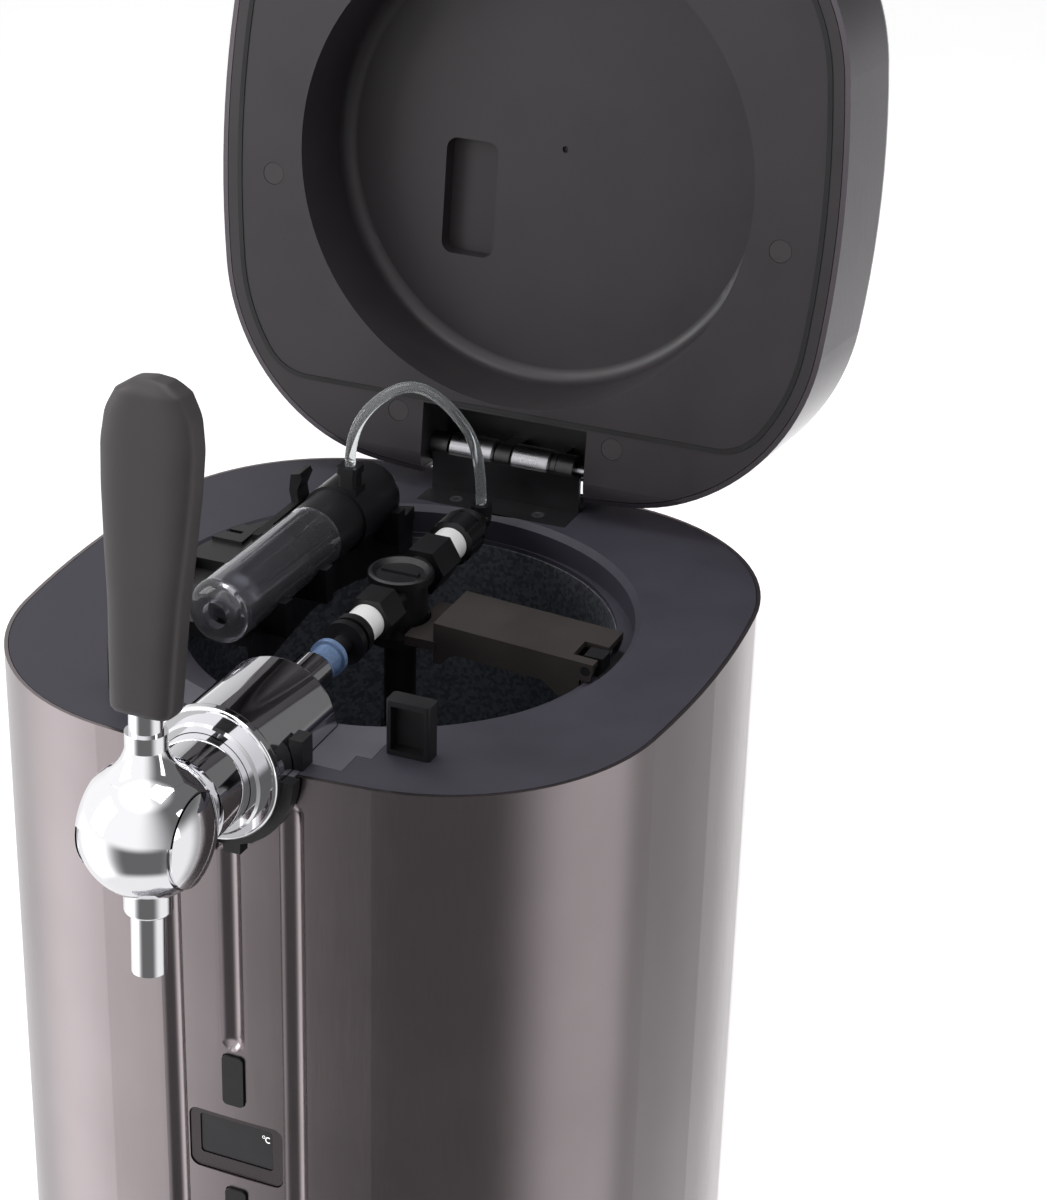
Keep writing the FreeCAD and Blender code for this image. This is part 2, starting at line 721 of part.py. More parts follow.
# Tap body: a ball with flat cheeks, a neck, and beer passages
ball = Part.makeSphere(ball_radius).common(block(-ball_flat, ball_flat, -40, 40, -23, 40))
body = ball.fuse(tap_rod(neck_root_radius, 8, 22)).fuse(tap_rod(neck_radius, 21, neck_end))
body = body.cut(tap_rod(5.0, -7, neck_end + 1))
body = body.cut(rod(spout_bore_radius, (0, 0, -30), (0, 0, 0)))
body = body.cut(rod(pivot_radius + running_gap, (-30, 0, 0), (30, 0, 0)))
save("tap_body", tap_at(body.removeSplitter()))
pivots = [rod(pivot_radius, (x0, 0, 0), (x1, 0, 0)) for x0, x1 in ((-18.9, -5.3), (5.3, 18.9))]
nut = tap_rod(tap_nut_radius, neck_end - tap_nut_length, neck_end).cut(tap_rod(neck_radius + slip_gap, 0, 60))
nut = nut.makeChamfer(1.0, [edge for edge in nut.Edges if edge.BoundBox.XMax > tap_nut_radius - 0.1
                            and edge.BoundBox.YMax < neck_end - 1 and edge.BoundBox.YLength < 0.1])
flange_end = neck_end + tap_flange_thickness
flange = tap_rod(tap_flange_radius, neck_end, flange_end)
flange = flange.makeFillet(1.4, [edge for edge in flange.Edges if edge.BoundBox.YLength < 0.1])
flange = flange.fuse(block(-5, 0.5, neck_end + 1, flange_end, -31.5, -24)).cut(tap_rod(5.0, 0, 60))
save("tap_flange", tap_at(flange.fuse(nut).removeSplitter()))
barrel = tap_rod(barrel_radius, flange_end, barrel_end)
barrel = barrel.makeFillet(barrel_round, [edge for edge in barrel.Edges if edge.BoundBox.YMin > barrel_end - 0.1])
barrel = barrel.cut(tap_rod(barrel_radius - barrel_wall, flange_end + 2, barrel_end - 4))
barrel = barrel.cut(tap_rod(5.0, 0, 60))
barrel = barrel.cut(tap_rod(5.0, barrel_end - 8, barrel_end + 1, 0, 5.5))
save("tap_barrel", tap_at(barrel))
collar_low = -23.0 - spout_collar_length
spout = rod(spout_radius, (0, 0, -spout_length), (0, 0, -23)).fuse(
    rod(spout_collar_radius, (0, 0, collar_low), (0, 0, -23)))
spout = spout.makeFillet(1.2, [edge for edge in spout.Edges if abs(edge.BoundBox.ZMin - collar_low) < 0.1
                               and edge.BoundBox.XMax > spout_collar_radius - 0.1 and edge.BoundBox.ZLength < 0.1])
spout = spout.cut(rod(spout_bore_radius, (0, 0, -60), (0, 0, -20)))
save("tap_spout", tap_at(spout))
caps = []
for side in (-1, 1):
    inner_x = 18.9
    dome = Part.makeSphere(side_cap_radius * 2.2, Vec(inner_x + side_cap_thickness - side_cap_radius * 2.2, 0, 0))
    cap = rod(side_cap_radius, (inner_x, 0, 0), (inner_x + side_cap_thickness + 1, 0, 0)).common(dome)
    if side < 0:
        cap.rotate(ORIGIN, AXIS_Z, 180)
    caps.append(cap)
save("tap_side_caps", tap_at(group([join(cap, pin) for cap, pin in zip(caps, pivots)])))

# Hood and handle, which turn together about the pivot pins
hood_in = ball_radius + hood_gap
hood_out = hood_in + hood_wall
cheek = ball_flat + 0.15
hood = Part.makeSphere(hood_out).common(block(-cheek - ear_thickness, cheek + ear_thickness, -40, 40, -40, 40))
hood = hood.cut(Part.makeSphere(hood_in).common(block(-cheek, cheek, -40, 40, -40, 40)))
front_turn, rear_turn = math.radians(hood_front_angle), math.radians(hood_rear_angle)
far = 60
wedge_points = [ORIGIN, Vec(0, -far * math.cos(front_turn), far * math.sin(front_turn)),
                Vec(0, -far * math.cos(front_turn), far), Vec(0, -far * math.cos(rear_turn), far),
                Vec(0, -far * math.cos(rear_turn), far * math.sin(rear_turn)), ORIGIN]
wedge = Part.Face(Part.makePolygon(wedge_points)).extrude(Vec(60, 0, 0))
wedge.translate(Vec(-30, 0, 0))
ears = rod(ear_radius, (-30, 0, 0), (30, 0, 0))
hood = hood.common(wedge.fuse(ears).cut(rod(ear_radius + 0.2, (-cheek, 0, 0), (cheek, 0, 0)).common(
    block(-cheek, cheek, -far, far, -far, 0))))
flare = Part.Wire([
    Part.makeLine(Vec(0, 0, hood_out - 2.5), Vec(14.5, 0, hood_out - 4.2)),
    Part.Arc(Vec(14.5, 0, hood_out - 4.2), Vec(9.8, 0, hood_out + 0.6),
             Vec(collar_radius, 0, hood_out + 6)).toShape(),
    Part.makeLine(Vec(collar_radius, 0, hood_out + 6), Vec(collar_radius, 0, collar_top)),
    Part.makeLine(Vec(collar_radius, 0, collar_top), Vec(stalk_radius, 0, collar_top)),
    Part.makeLine(Vec(stalk_radius, 0, collar_top), Vec(stalk_radius, 0, stalk_top)),
    Part.makeLine(Vec(stalk_radius, 0, stalk_top), Vec(0, 0, stalk_top)),
    Part.makeLine(Vec(0, 0, stalk_top), Vec(0, 0, hood_out - 2.5))])
flare = Part.Face(flare).revolve(ORIGIN, AXIS_Z, 360)
flare = flare.cut(Part.makeSphere(hood_in))
hood = hood.fuse(flare)
hood = hood.cut(rod(pivot_radius + running_gap, (-30, 0, 0), (30, 0, 0)))
save("tap_hood", tap_at(hood.removeSplitter()))
local_lean = handle_lean - tap_tilt
side = [(12.0, handle_bottom), (12.7, 60), (13.9, 85), (15.8, 105), (17.4, 125), (17.9, 140), (16.4, 151),
        (12.4, 158.4), (6.6, 162.2), (0, 163.0)]
points = [Vec(x, 0, z) for x, z in side] + [Vec(-x, 0, z) for x, z in reversed(side[:-1])]
curve = Part.BSplineCurve()
curve.interpolate(points)
foot_line = Part.makeLine(points[-1], points[0])
grip = Part.Face(Part.Wire([curve.toShape(), foot_line])).extrude(Vec(0, handle_thickness, 0))
grip.translate(Vec(0, -handle_thickness / 2, 0))
grip = grip.makeFillet(handle_edge_round, [edge for edge in grip.Edges if edge.BoundBox.YLength < 0.1])
grip.rotate(Vec(0, 0, 40), AXIS_X, -local_lean)
grip = grip.cut(rod(stalk_radius + running_gap, (0, 0, 40), (0, 0, stalk_top + 0.2)))
save("tap_handle", tap_at(grip))
plunger = tap_rod(plunger_radius, 2, 38).fuse(tap_rod(plunger_head_radius, 38, 43))
save("tap_plunger", tap_at(plunger))

# Half ring and snap clips that hold the barrel in the saddle
ring_front = flange_end + 0.3
ring_back = 57.2
ring = tap_rod(barrel_bore + mount_ring_width + 1.1, ring_front, ring_back).cut(tap_rod(barrel_bore, 0, 80))
ring = ring.common(block(-40, 40, 0, 80, -40, 0.5))
ring = ring.fuse(block(2, 9, ring_front, ring_back, -33, -27))
ring = tap_at(ring.removeSplitter())
clips = []
lug_back = front_y + lug_setback
for side in (-1, 1):
    x_in, x_out = side * 22.0, side * (barrel_bore + 3.6)
    clip = block(min(x_in, x_out), max(x_in, x_out), lug_back - lug_length, lug_back, deck_height,
                 deck_height + 12)
    clip = clip.cut(tap_at(tap_rod(barrel_bore, 40, 110)))
    clip = clip.cut(block(-23, 23, front_y - 13, front_y + 27, deck_height - 1, deck_height + 20))
    clips.append(clip.common(block(-60, 60, front_y + 5, front_y + 27, deck_height, deck_height + 20)))
save("barrel_clips", group([ring] + clips))

# Push fit, beer stem and keg coupler along the line behind the tap
def line_rod(radius, y0, y1):
    return rod(radius, (0, y0, line_z), (0, y1, line_z))


passage = 2.5
push = tap_at(tap_rod(12.0, barrel_end, barrel_end + rear_nut_length, 0, 5.5))
push = push.fuse(line_rod(push_body_radius, -89, -66))
push = push.cut(line_rod(stem_radius + running_gap, -84, -60)).cut(line_rod(collet_radius, -76, -60))
push = push.cut(line_rod(3.5, -100, -80))
save("push_fit_body", push.removeSplitter())
collet = line_rod(collet_radius - slip_gap, -74, -54).fuse(line_rod(collet_rim_radius, -collet_end + 1.5, -52))
collet = collet.fuse(line_rod(collet_rim_radius - 0.7, -64, -63))
collet = collet.cut(line_rod(stem_radius + running_gap, -80, -40))
save("push_fit_collet", collet.removeSplitter())
stem = line_rod(stem_radius, -84, -41).cut(line_rod(passage, -90, -30))
core = 5.0
seals = line_rod(stem_ring_radius, -41, -37.5).fuse(line_rod(stem_ring_radius - 1.6, -37.5, -35)).fuse(
    line_rod(stem_ring_radius - 0.3, -35, -31))
seals = seals.cut(line_rod(core + running_gap, -50, -20)).removeSplitter()
save("beer_stem", group([stem, seals]))
collars = []
for y0, y1 in ((-30.8, -19.2), (48.2, 59.8)):
    collars.append(line_rod(collar_white_radius, y0, y1).cut(line_rod(core + running_gap, y0 - 1, y1 + 1)))
save("white_collars", group(collars))
nuts = []
for y0, y1 in ((-19, -5.2), (30.2, 48)):
    hexed = hexagon(union_nut_width, (0, y0, line_z), (0, y1, line_z))
    nuts.append(hexed.cut(line_rod(core + running_gap, y0 - 1, y1 + 1)))
save("union_nuts", group(nuts))
tee_y = well_axis_y
body_low = deck_height - skirt_depth
tee_top = deck_height + 8.6
tee = line_rod(coupler_tube_radius, -5, 30).fuse(line_rod(core, -41, 61))
tee = tee.fuse(rod(coupler_body_radius, (0, tee_y, body_low), (0, tee_y, tee_top)))
tee = tee.fuse(rod(15.0, (0, tee_y, body_low - 4), (0, tee_y, body_low)))
tee = tee.cut(line_rod(passage, -60, 80)).cut(rod(passage, (0, tee_y, 0), (0, tee_y, line_z)))
tee = tee.cut(rod(3.05, (0, tee_y, tee_top - 4), (0, tee_y, tee_top + 1)))
tee = tee.cut(rod(cap_disc_radius + 0.5, (0, tee_y, tee_top), (0, tee_y, tee_top + 6)))
save("t_body", tee.removeSplitter())
disc_top = tee_top + 0.2 + cap_disc_thickness
disc = rod(cap_disc_radius, (0, tee_y, tee_top + 0.2), (0, tee_y, disc_top))
disc = disc.makeChamfer(0.8, [edge for edge in disc.Edges if edge.BoundBox.ZMin > disc_top - 0.1])
disc = disc.cut(cone(cap_disc_radius - 3.5, cap_disc_radius - 1.6, (0, tee_y, disc_top - cap_dish_depth),
                     (0, tee_y, disc_top)))
disc = disc.fuse(block(-8, 8, tee_y - 1.2, tee_y + 1.2, disc_top - 2.2, disc_top - 0.6))
disc = disc.fuse(rod(2.9, (0, tee_y, tee_top - 3.6), (0, tee_y, tee_top + 1)))
save("t_cap", disc.removeSplitter())
riser_low = deck_height - riser_drop
riser = rod(riser_radius, (0, tee_y, riser_low), (0, tee_y, body_low - 4))
riser = riser.fuse(rod(riser_radius + 1.4, (0, tee_y, riser_low), (0, tee_y, riser_low + 5)))
riser = riser.fuse(rod(riser_tip_radius, (0, tee_y, well_bottom + riser_clear), (0, tee_y, riser_low)))
save("riser_tube", riser.cut(rod(riser_bore_radius, (0, tee_y, 0), (0, tee_y, 600))).removeSplitter())
elbow = line_rod(10.0, 60.2, 72).fuse(cone(10.0, 8.4, (0, 72, line_z), (0, 78, line_z)))
for step in range(8):
    turn = math.radians(step * 45)
    groove = rod(1.3, (10.6 * math.cos(turn), 60, line_z + 10.6 * math.sin(turn)),
                 (10.6 * math.cos(turn), 72, line_z + 10.6 * math.sin(turn)))
    elbow = elbow.cut(groove)
save("elbow_nut", elbow.cut(line_rod(core + running_gap, 59, 80)).removeSplitter())
arm_x = 1.0
fitting = line_rod(core, 61, elbow_y - 1).fuse(Part.makeSphere(5.6, Vec(0, elbow_y - 0.6, line_z)))
elbow_top = deck_height + elbow_arm_top
fitting = fitting.fuse(rod(elbow_arm_radius, (arm_x, elbow_y, line_z), (arm_x, elbow_y, elbow_top)))
fitting = fitting.cut(line_rod(passage, 50, elbow_y - 1))
fitting = fitting.cut(rod(barb_radius, (arm_x, elbow_y, line_z), (arm_x, elbow_y, 600)))
save("elbow_fitting", fitting.removeSplitter())

# Swing-up arm that holds the coupler down
pin_z = deck_height - arm_hinge_drop
arm_y0, arm_y1 = tee_y + 0.5 - arm_width / 2, tee_y + 0.5 + arm_width / 2
profile = [(arm_inner_x, 0), (arm_outer_x, -3.7), (arm_outer_x, -7.0), (88.0, -11.2), (83.5, -11.2),
           (83.5, -20.5), (77.2, -20.5), (74.3, -19.4), (68.6, -14.6), (31.7, -12.3), (28.4, -13.5),
           (24.6, -17.7), (arm_inner_x, -17.7)]


def side_plate(outline, y0, y1):
    points = [Vec(x, y0, deck_height + z) for x, z in outline]
    points.append(points[0])
    return Part.Face(Part.makePolygon(points)).extrude(Vec(0, y1 - y0, 0))


top_plate = [(arm_inner_x, 0), (arm_outer_x, -3.7), (arm_outer_x, -6.1), (arm_inner_x, -2.4)]
arm = side_plate(top_plate, arm_y0, arm_y1)
arm = arm.fuse(side_plate(profile, arm_y0, arm_y0 + arm_wall)).fuse(side_plate(profile, arm_y1 - arm_wall, arm_y1))
arm = arm.fuse(block(arm_inner_x, arm_inner_x + arm_wall, arm_y0, arm_y1, deck_height - 17.7, deck_height - 1))
fork_low = body_low + 0.1
fork = block(fork_inner_x, arm_inner_x + 1, tee_y - 16.2, tee_y + 18, fork_low, fork_low + fork_thickness - 1)
fork = fork.cut(rod(12.5, (0, tee_y, fork_low - 1), (0, tee_y, fork_low + 9)))
arm = arm.fuse(fork)
notch_y0 = arm_y0 + 5
arm = arm.cut(block(arm_notch_start, 95, notch_y0, notch_y0 + arm_notch_width, deck_height - 30, deck_height + 5))
arm = arm.cut(rod(arm_pin_radius + running_gap, (arm_hinge_x, -20, pin_z), (arm_hinge_x, 50, pin_z)))
save("connector_arm", arm.removeSplitter())
post_y0, post_y1 = notch_y0 + 2, notch_y0 + arm_notch_width - 2
bracket = block(82.5, 90.5, post_y0, post_y1, ledge_z, deck_height - 3.9)
bracket = bracket.fuse(block(88.0, 93.0, post_y0, post_y1, ledge_z, ledge_z + 2))
bracket = bracket.cut(block(80, 88, post_y0 - 1, post_y1 + 1, ledge_z - 1, ledge_z + 0.6))
bracket = bracket.fuse(block(90.2, 93.0, arm_y0 + arm_wall + 0.6, post_y1 + 12, ledge_z, ledge_z + 2).common(
    rod(hole_radius - 1.0, (0, hole_centre_y, 0), (0, hole_centre_y, 600))).cut(
    block(80, 94, arm_y1 - 3, arm_y1 + 9, ledge_z - 1, ledge_z + 3)))
bracket = bracket.fuse(rod(arm_pin_radius, (arm_hinge_x, arm_y0 + 0.2, pin_z), (arm_hinge_x, arm_y1 - 0.2, pin_z)))
save("arm_bracket", bracket.removeSplitter())

# Gas holder: sleeve, cartridge, regulator, cradle and clip
def holder_rod(radius, y0, y1):
    return rod(radius, (0, y0, 0), (0, y1, 0))


sleeve = holder_rod(sleeve_radius, sleeve_front, sleeve_end)
sleeve = sleeve.makeFillet(sleeve_round, [edge for edge in sleeve.Edges if edge.BoundBox.YMax < sleeve_front + 0.1])
sleeve = sleeve.cut(holder_rod(sleeve_radius - sleeve_wall, sleeve_front + 5, sleeve_end + 1))
sleeve = sleeve.cut(holder_rod(sleeve_hole_radius, sleeve_front - 1, sleeve_front + 6))
for step in range(12):
    turn = math.radians(step * 30)
    x, z = (sleeve_radius + 0.9) * math.cos(turn), (sleeve_radius + 0.9) * math.sin(turn)
    sleeve = sleeve.cut(rod(1.2, (x, -34, z), (x, sleeve_end - 4, z)))
save("co2_sleeve", holder_at(sleeve))
cartridge = holder_rod(cartridge_radius, -38, 0)
cartridge = cartridge.fuse(Part.makeSphere(cartridge_radius, Vec(0, -38, 0)))
cartridge = cartridge.fuse(cone(cartridge_radius, cartridge_neck_radius, (0, 0, 0), (0, 9, 0)))
cartridge = cartridge.fuse(holder_rod(cartridge_neck_radius, 8.5, 24))
save("co2_cartridge", holder_at(cartridge.removeSplitter()))
regulator = holder_rod(sleeve_radius, sleeve_end + 0.1, collar_end)
regulator = regulator.fuse(holder_rod(sleeve_radius - sleeve_wall - slip_gap / 2, 11, sleeve_end + 1))
knob = holder_rod(regulator_radius, collar_end, regulator_end)
knob = knob.makeFillet(regulator_round, [edge for edge in knob.Edges if edge.BoundBox.YMin > regulator_end - 0.1])
regulator = regulator.fuse(knob)
regulator = regulator.cut(holder_rod(cartridge_neck_radius + running_gap, 10, 24.2))
regulator = regulator.cut(cone(cartridge_radius, 5.0, (0, 10.9, 0), (0, 14, 0)))
regulator = holder_at(regulator)
boss_top = deck_height + 26.8
boss = block(fitting_x - fitting_flange_side / 2, fitting_x + fitting_flange_side / 2,
             fitting_y - fitting_flange_side / 2 + 2.4, fitting_y + fitting_flange_side / 2 + 2.4,
             deck_height + 18, boss_top)
regulator = regulator.fuse(boss)
save("co2_regulator", regulator.removeSplitter())
joint_y = fitting_y + 2.4
half_flange, half_fitting = fitting_flange_side / 2, fitting_side / 2
outlet = rounded_block(fitting_x - half_fitting, fitting_x + half_fitting, joint_y - half_fitting,
                       joint_y + half_fitting, boss_top, deck_height + fitting_top, 1.2, AXIS_Z)
outlet = outlet.fuse(rounded_block(
    fitting_x - half_flange, fitting_x + half_flange, joint_y - half_flange, joint_y + half_flange,
    deck_height + fitting_top - fitting_flange_thickness, deck_height + fitting_top, 1.6, AXIS_Z))
outlet = outlet.cut(rod(barb_radius, (fitting_x, joint_y, 0), (fitting_x, joint_y, 600)))
save("tube_fitting", outlet.removeSplitter())

plate_low = deck_height - 6.0
in_hole = rod(hole_radius - fit_gap, (0, hole_centre_y, 0), (0, hole_centre_y, 600))
inner_edge = [(-38, -44), (-41, -30), (-43.5, -8), (-45.4, 12), (-46.6, 25), (-45.5, 46), (-42, 58), (-38, 66),
              (-31, 76), (-32, 98)]


def edge_face(shift, z):
    outline = [Vec(-100, -44, z)] + [Vec(x + shift, y, z) for x, y in inner_edge] + [Vec(-100, 98, z)]
    outline.append(outline[0])
    return Part.Face(Part.makePolygon(outline))


cradle = edge_face(0, plate_low).extrude(Vec(0, 0, 6.0))
apron = edge_face(0, deck_height - 22).extrude(Vec(0, 0, 22)).cut(edge_face(-2.2, deck_height - 23).extrude(
    Vec(0, 0, 30))).common(block(-60, -20, -43.5, 97, 0, 600))
apron = apron.common(rod(well_radius - 0.5, (0, well_axis_y, 0), (0, well_axis_y, 600)))
cradle = cradle.fuse(apron).common(in_hole)
cradle = cradle.cut(holder_at(holder_rod(regulator_radius + fit_gap, -70, regulator_end + 2)))
foot = block(-90, -60, -44, 97, ledge_z, plate_low).common(rod(hole_radius - 1, (0, hole_centre_y, 0),
                                                               (0, hole_centre_y, 600)))
foot = foot.cut(rod(well_radius + 2.5, (0, well_axis_y, 0), (0, well_axis_y, 600)))
cradle = cradle.fuse(foot)
cradle = cradle.cut(block(-92, -76, -14, shelf_front, plate_low + 1.2, deck_height + 1))
for y0, y1, radius in ((-30, -24, sleeve_radius + slip_gap), (4, 10, sleeve_radius + slip_gap),
                       (66, 72, regulator_radius + running_gap)):
    rest = block(-radius - 3, radius + 3, y0, y1, -18, -3)
    rest = rest.cut(holder_rod(radius, -70, 90))
    cradle = cradle.fuse(holder_at(rest).common(in_hole))
plate = block(-94, -80, 27, 43, deck_height, deck_height + 1.4).common(
    rod(98.4, (0, -1.5, 0), (0, -1.5, 600)))
plate = plate.fuse(block(-96, -80, 27, 43, deck_height - 0.5, deck_height).common(in_hole))
cradle = cradle.fuse(plate).cut(block(-91, -84, 34, 36.5, deck_height - 3, deck_height + 3))
clip_z = deck_height + clip_hinge_rise
posts = []
for y0, y1 in ((21, 25), (43, 47)):
    post = block(clip_hinge_x - 3, clip_hinge_x + 1.8, y0, y1, deck_height - 1, clip_z + 2.3)
    posts.append(post)
for post in posts:
    cradle = cradle.fuse(post)
clip_clear = block(clip_hinge_x - 4.5, clip_hinge_x + 7.2, clip_front - 1, clip_back + 3, plate_low + 1.5,
                   deck_height + 0.01)
for y0, y1 in ((20.6, 25.4), (42.6, 47.4)):
    clip_clear = clip_clear.cut(block(clip_hinge_x - 5, clip_hinge_x + 3, y0, y1, 0, 600))
cradle = cradle.cut(clip_clear)
cradle = cradle.fuse(rod(clip_pin_radius, (clip_hinge_x, clip_front, clip_z),
                         (clip_hinge_x, clip_back + 2, clip_z)))
save("holder_cradle", cradle.removeSplitter())
rail = block(clip_hinge_x + 3, clip_hinge_x + 6.2, clip_front, clip_back + 2, deck_height + 1, deck_height + 14)
rail = rail.fuse(rod(3.4, (clip_hinge_x, clip_front, clip_z), (clip_hinge_x, clip_back + 2, clip_z)))
rail = rail.fuse(block(clip_hinge_x, clip_hinge_x + 4, clip_front, clip_back + 2, deck_height + 1.2,
                       deck_height + 4.6))
rail = rail.fuse(block(clip_hinge_x + 6, clip_hinge_x + 9.2, clip_front + 2, clip_front + 12, deck_height + 10,
                       deck_height + 14).cut(holder_at(holder_rod(sleeve_radius + fit_gap, -60, 60))))
tab = [(clip_hinge_x + 3, 12), (clip_hinge_x + 6.2, 12), (clip_hinge_x + 5.2, 19), (clip_hinge_x + 7.6, 25),
       (clip_hinge_x + 6.6, clip_tab_top), (clip_hinge_x + 2.4, clip_tab_top - 1), (clip_hinge_x + 1.6, 19)]
rail = rail.fuse(side_plate(tab, clip_tab_front + 6, clip_back + 2))
for y0, y1 in ((20.6, 25.4), (42.6, 47.4)):
    rail = rail.cut(block(clip_hinge_x - 5, clip_hinge_x + 2.9, y0, y1, deck_height - 3, deck_height + 9))
rail = rail.cut(rod(clip_pin_radius + running_gap, (clip_hinge_x, 0, clip_z), (clip_hinge_x, 90, clip_z)))
save("co2_clip", rail.removeSplitter())

# Gas tube from the regulator over to the elbow: straight runs joined by arcs
tube_start = Vec(fitting_x, joint_y, deck_height + fitting_top)
tube_end = Vec(arm_x, elbow_y, deck_height + elbow_arm_top)
run = tube_end - tube_start
tube_route = [tube_start]
for share, rise in ((0.0, 13.0), (0.17, 27.0), (0.46, 33.0), (0.74, 21.5), (1.0, -2.0)):
    tube_route.append(Vec(tube_start.x + run.x * share, tube_start.y + run.y * share, tube_start.z + rise))
tube_route.append(tube_end)


def tube_path(points):
    """Straight runs joined by tangent arcs, with the arc radii."""
    edges = []
    radii = []
    start = points[0]
    for before, corner, after in zip(points, points[1:], points[2:]):
        to_corner, onward = (corner - before), (after - corner)
        short = min(to_corner.Length, onward.Length)
        a, b = Vec(to_corner).normalize(), Vec(onward).normalize()
        turn = a.getAngle(b)
        reach = 0.45 * short
        radius = reach / math.tan(turn / 2)
        radii.append(radius)
        entry, leave = corner - a * reach, corner + b * reach
        inward = Vec(b - a).normalize()
        centre = corner + inward * (radius / math.cos(turn / 2))
        edges.append(Part.LineSegment(start, entry).toShape())
        edges.append(Part.Arc(entry, centre - inward * radius, leave).toShape())
        start = leave
    edges.append(Part.LineSegment(start, points[-1]).toShape())
    return Part.Wire(edges), radii


tube_wire, tube_radii = tube_path(tube_route)
tube_first = tube_route[1] - tube_route[0]
tube_outer = Part.Wire(Part.makeCircle(gas_tube_radius, tube_start, tube_first))
tube = tube_wire.makePipeShell([tube_outer], True, False)
save("co2_tube", tube)
section = math.pi * gas_tube_radius ** 2
print("tube arcs", [round(radius, 1) for radius in tube_radii], "length", round(tube_wire.Length, 1))
print("tube volume", round(tube.Volume, 1), "section times length", round(section * tube_wire.Length, 1))
for point in tube_route:
    print("tube point", round(point.x, 2), round(point.y, 2), round(point.z, 2))

# Hinge fixed to the deck
pin_axis = deck_height + hinge_rise


def hinge_rod(radius, x0, x1):
    return rod(radius, (x0, hinge_y, pin_axis), (x1, hinge_y, pin_axis))


base = block(-34, 34, hinge_foot_front, hinge_y - 2, foot_low, deck_height)
base = base.fuse(block(-34, 34, hinge_y - 9.5, hinge_y - 7.5, foot_low, pin_axis + 1))
for x0, x1 in knuckles:
    base = base.fuse(hinge_rod(knuckle_radius, x0, x1))
    base = base.fuse(block(max(x0, -34), x1, hinge_y - 9.5, hinge_y, pin_axis - 5, pin_axis + 1))
for x in (-hinge_screw_x, hinge_screw_x):
    base = base.cut(rod(1.6, (x, hinge_screw_y, foot_low - 1), (x, hinge_screw_y, deck_height + 1)))
    base = base.cut(cone(1.6, 3.0, (x, hinge_screw_y, deck_height - 1.4), (x, hinge_screw_y, deck_height)))
for x0, x1 in dampers + [leaf_ear, (18.6, 21.2)]:
    base = base.cut(hinge_rod(damper_radius + 0.6, x0 - 0.25, x1 + 0.25))
base = base.cut(hinge_rod(hinge_pin_radius + running_gap, -50, 50))
save("hinge_base", base.removeSplitter())
screws = []
for x in (-hinge_screw_x, hinge_screw_x):
    screw = rod(1.45, (x, hinge_screw_y, deck_low - 2), (x, hinge_screw_y, deck_height - 1))
    screw = screw.fuse(cone(1.45, 2.75, (x, hinge_screw_y, deck_height - 1.45),
                            (x, hinge_screw_y, deck_height - 0.1)))
    for x0, x1, y0, y1 in ((-1.6, 1.6, -0.3, 0.3), (-0.3, 0.3, -1.6, 1.6)):
        screw = screw.cut(block(x + x0, x + x1, hinge_screw_y + y0, hinge_screw_y + y1, deck_height - 0.9,
                                deck_height + 1))
    screws.append(screw.removeSplitter())
save("hinge_screws", group(screws))
save("hinge_pin", hinge_rod(hinge_pin_radius, -37.4, hinge_pin_right))
barrels = []
for x0, x1 in dampers:
    barrel_part = hinge_rod(damper_radius, x0, x1)
    barrel_part = barrel_part.makeChamfer(0.8, [edge for edge in barrel_part.Edges if edge.BoundBox.XLength < 0.1])
    barrels.append(barrel_part.cut(hinge_rod(hinge_pin_radius + running_gap, -50, 50)))
save("hinge_dampers", group(barrels))

# Lid shell, modelled shut
lid_top = lid_bottom + lid_height
turn_clear = math.hypot(hinge_rise - lid_gap, 0) - 0.05
swept_corner = block(-200, 200, hinge_y, back_y + 63, lid_bottom - 5, pin_axis).cut(
    rod(turn_clear, (-200, hinge_y, pin_axis), (200, hinge_y, pin_axis)))
notch = block(-notch_half_width, notch_half_width, notch_front_y, back_y + 63, lid_bottom - 5,
              lid_bottom + notch_height)
arch_radius = barrel_bore + arch_gap
arch = tap_at(tap_rod(arch_radius, 40, 110)).fuse(
    block(-arch_radius, arch_radius, front_y - 8, front_y + 47, lid_bottom - 5, deck_height))
arch = arch.fuse(block(-barrel_bore - 4.4, barrel_bore + 4.4, front_y - 8, front_y + 19, lid_bottom - 5,
                       deck_height + 13))
arch = arch.common(block(-60, 60, front_y - 8, front_y + 43, 0, lid_bottom + lid_height))
outer = body_block(0, lid_bottom, lid_top)
outer = outer.makeFillet(lid_edge_round, [edge for edge in outer.Edges if edge.BoundBox.ZMin > lid_top - 0.1])
cavity = body_block(lid_wall, lid_bottom - 1, lid_top - lid_wall)
cavity = cavity.makeFillet(lid_edge_round - lid_wall,
                           [edge for edge in cavity.Edges if edge.BoundBox.ZMin > lid_top - lid_wall - 0.1])
lid_skin = outer.cut(cavity).cut(swept_corner).cut(notch).cut(arch)
save("lid_shell", lid_at(lid_skin.removeSplitter()))

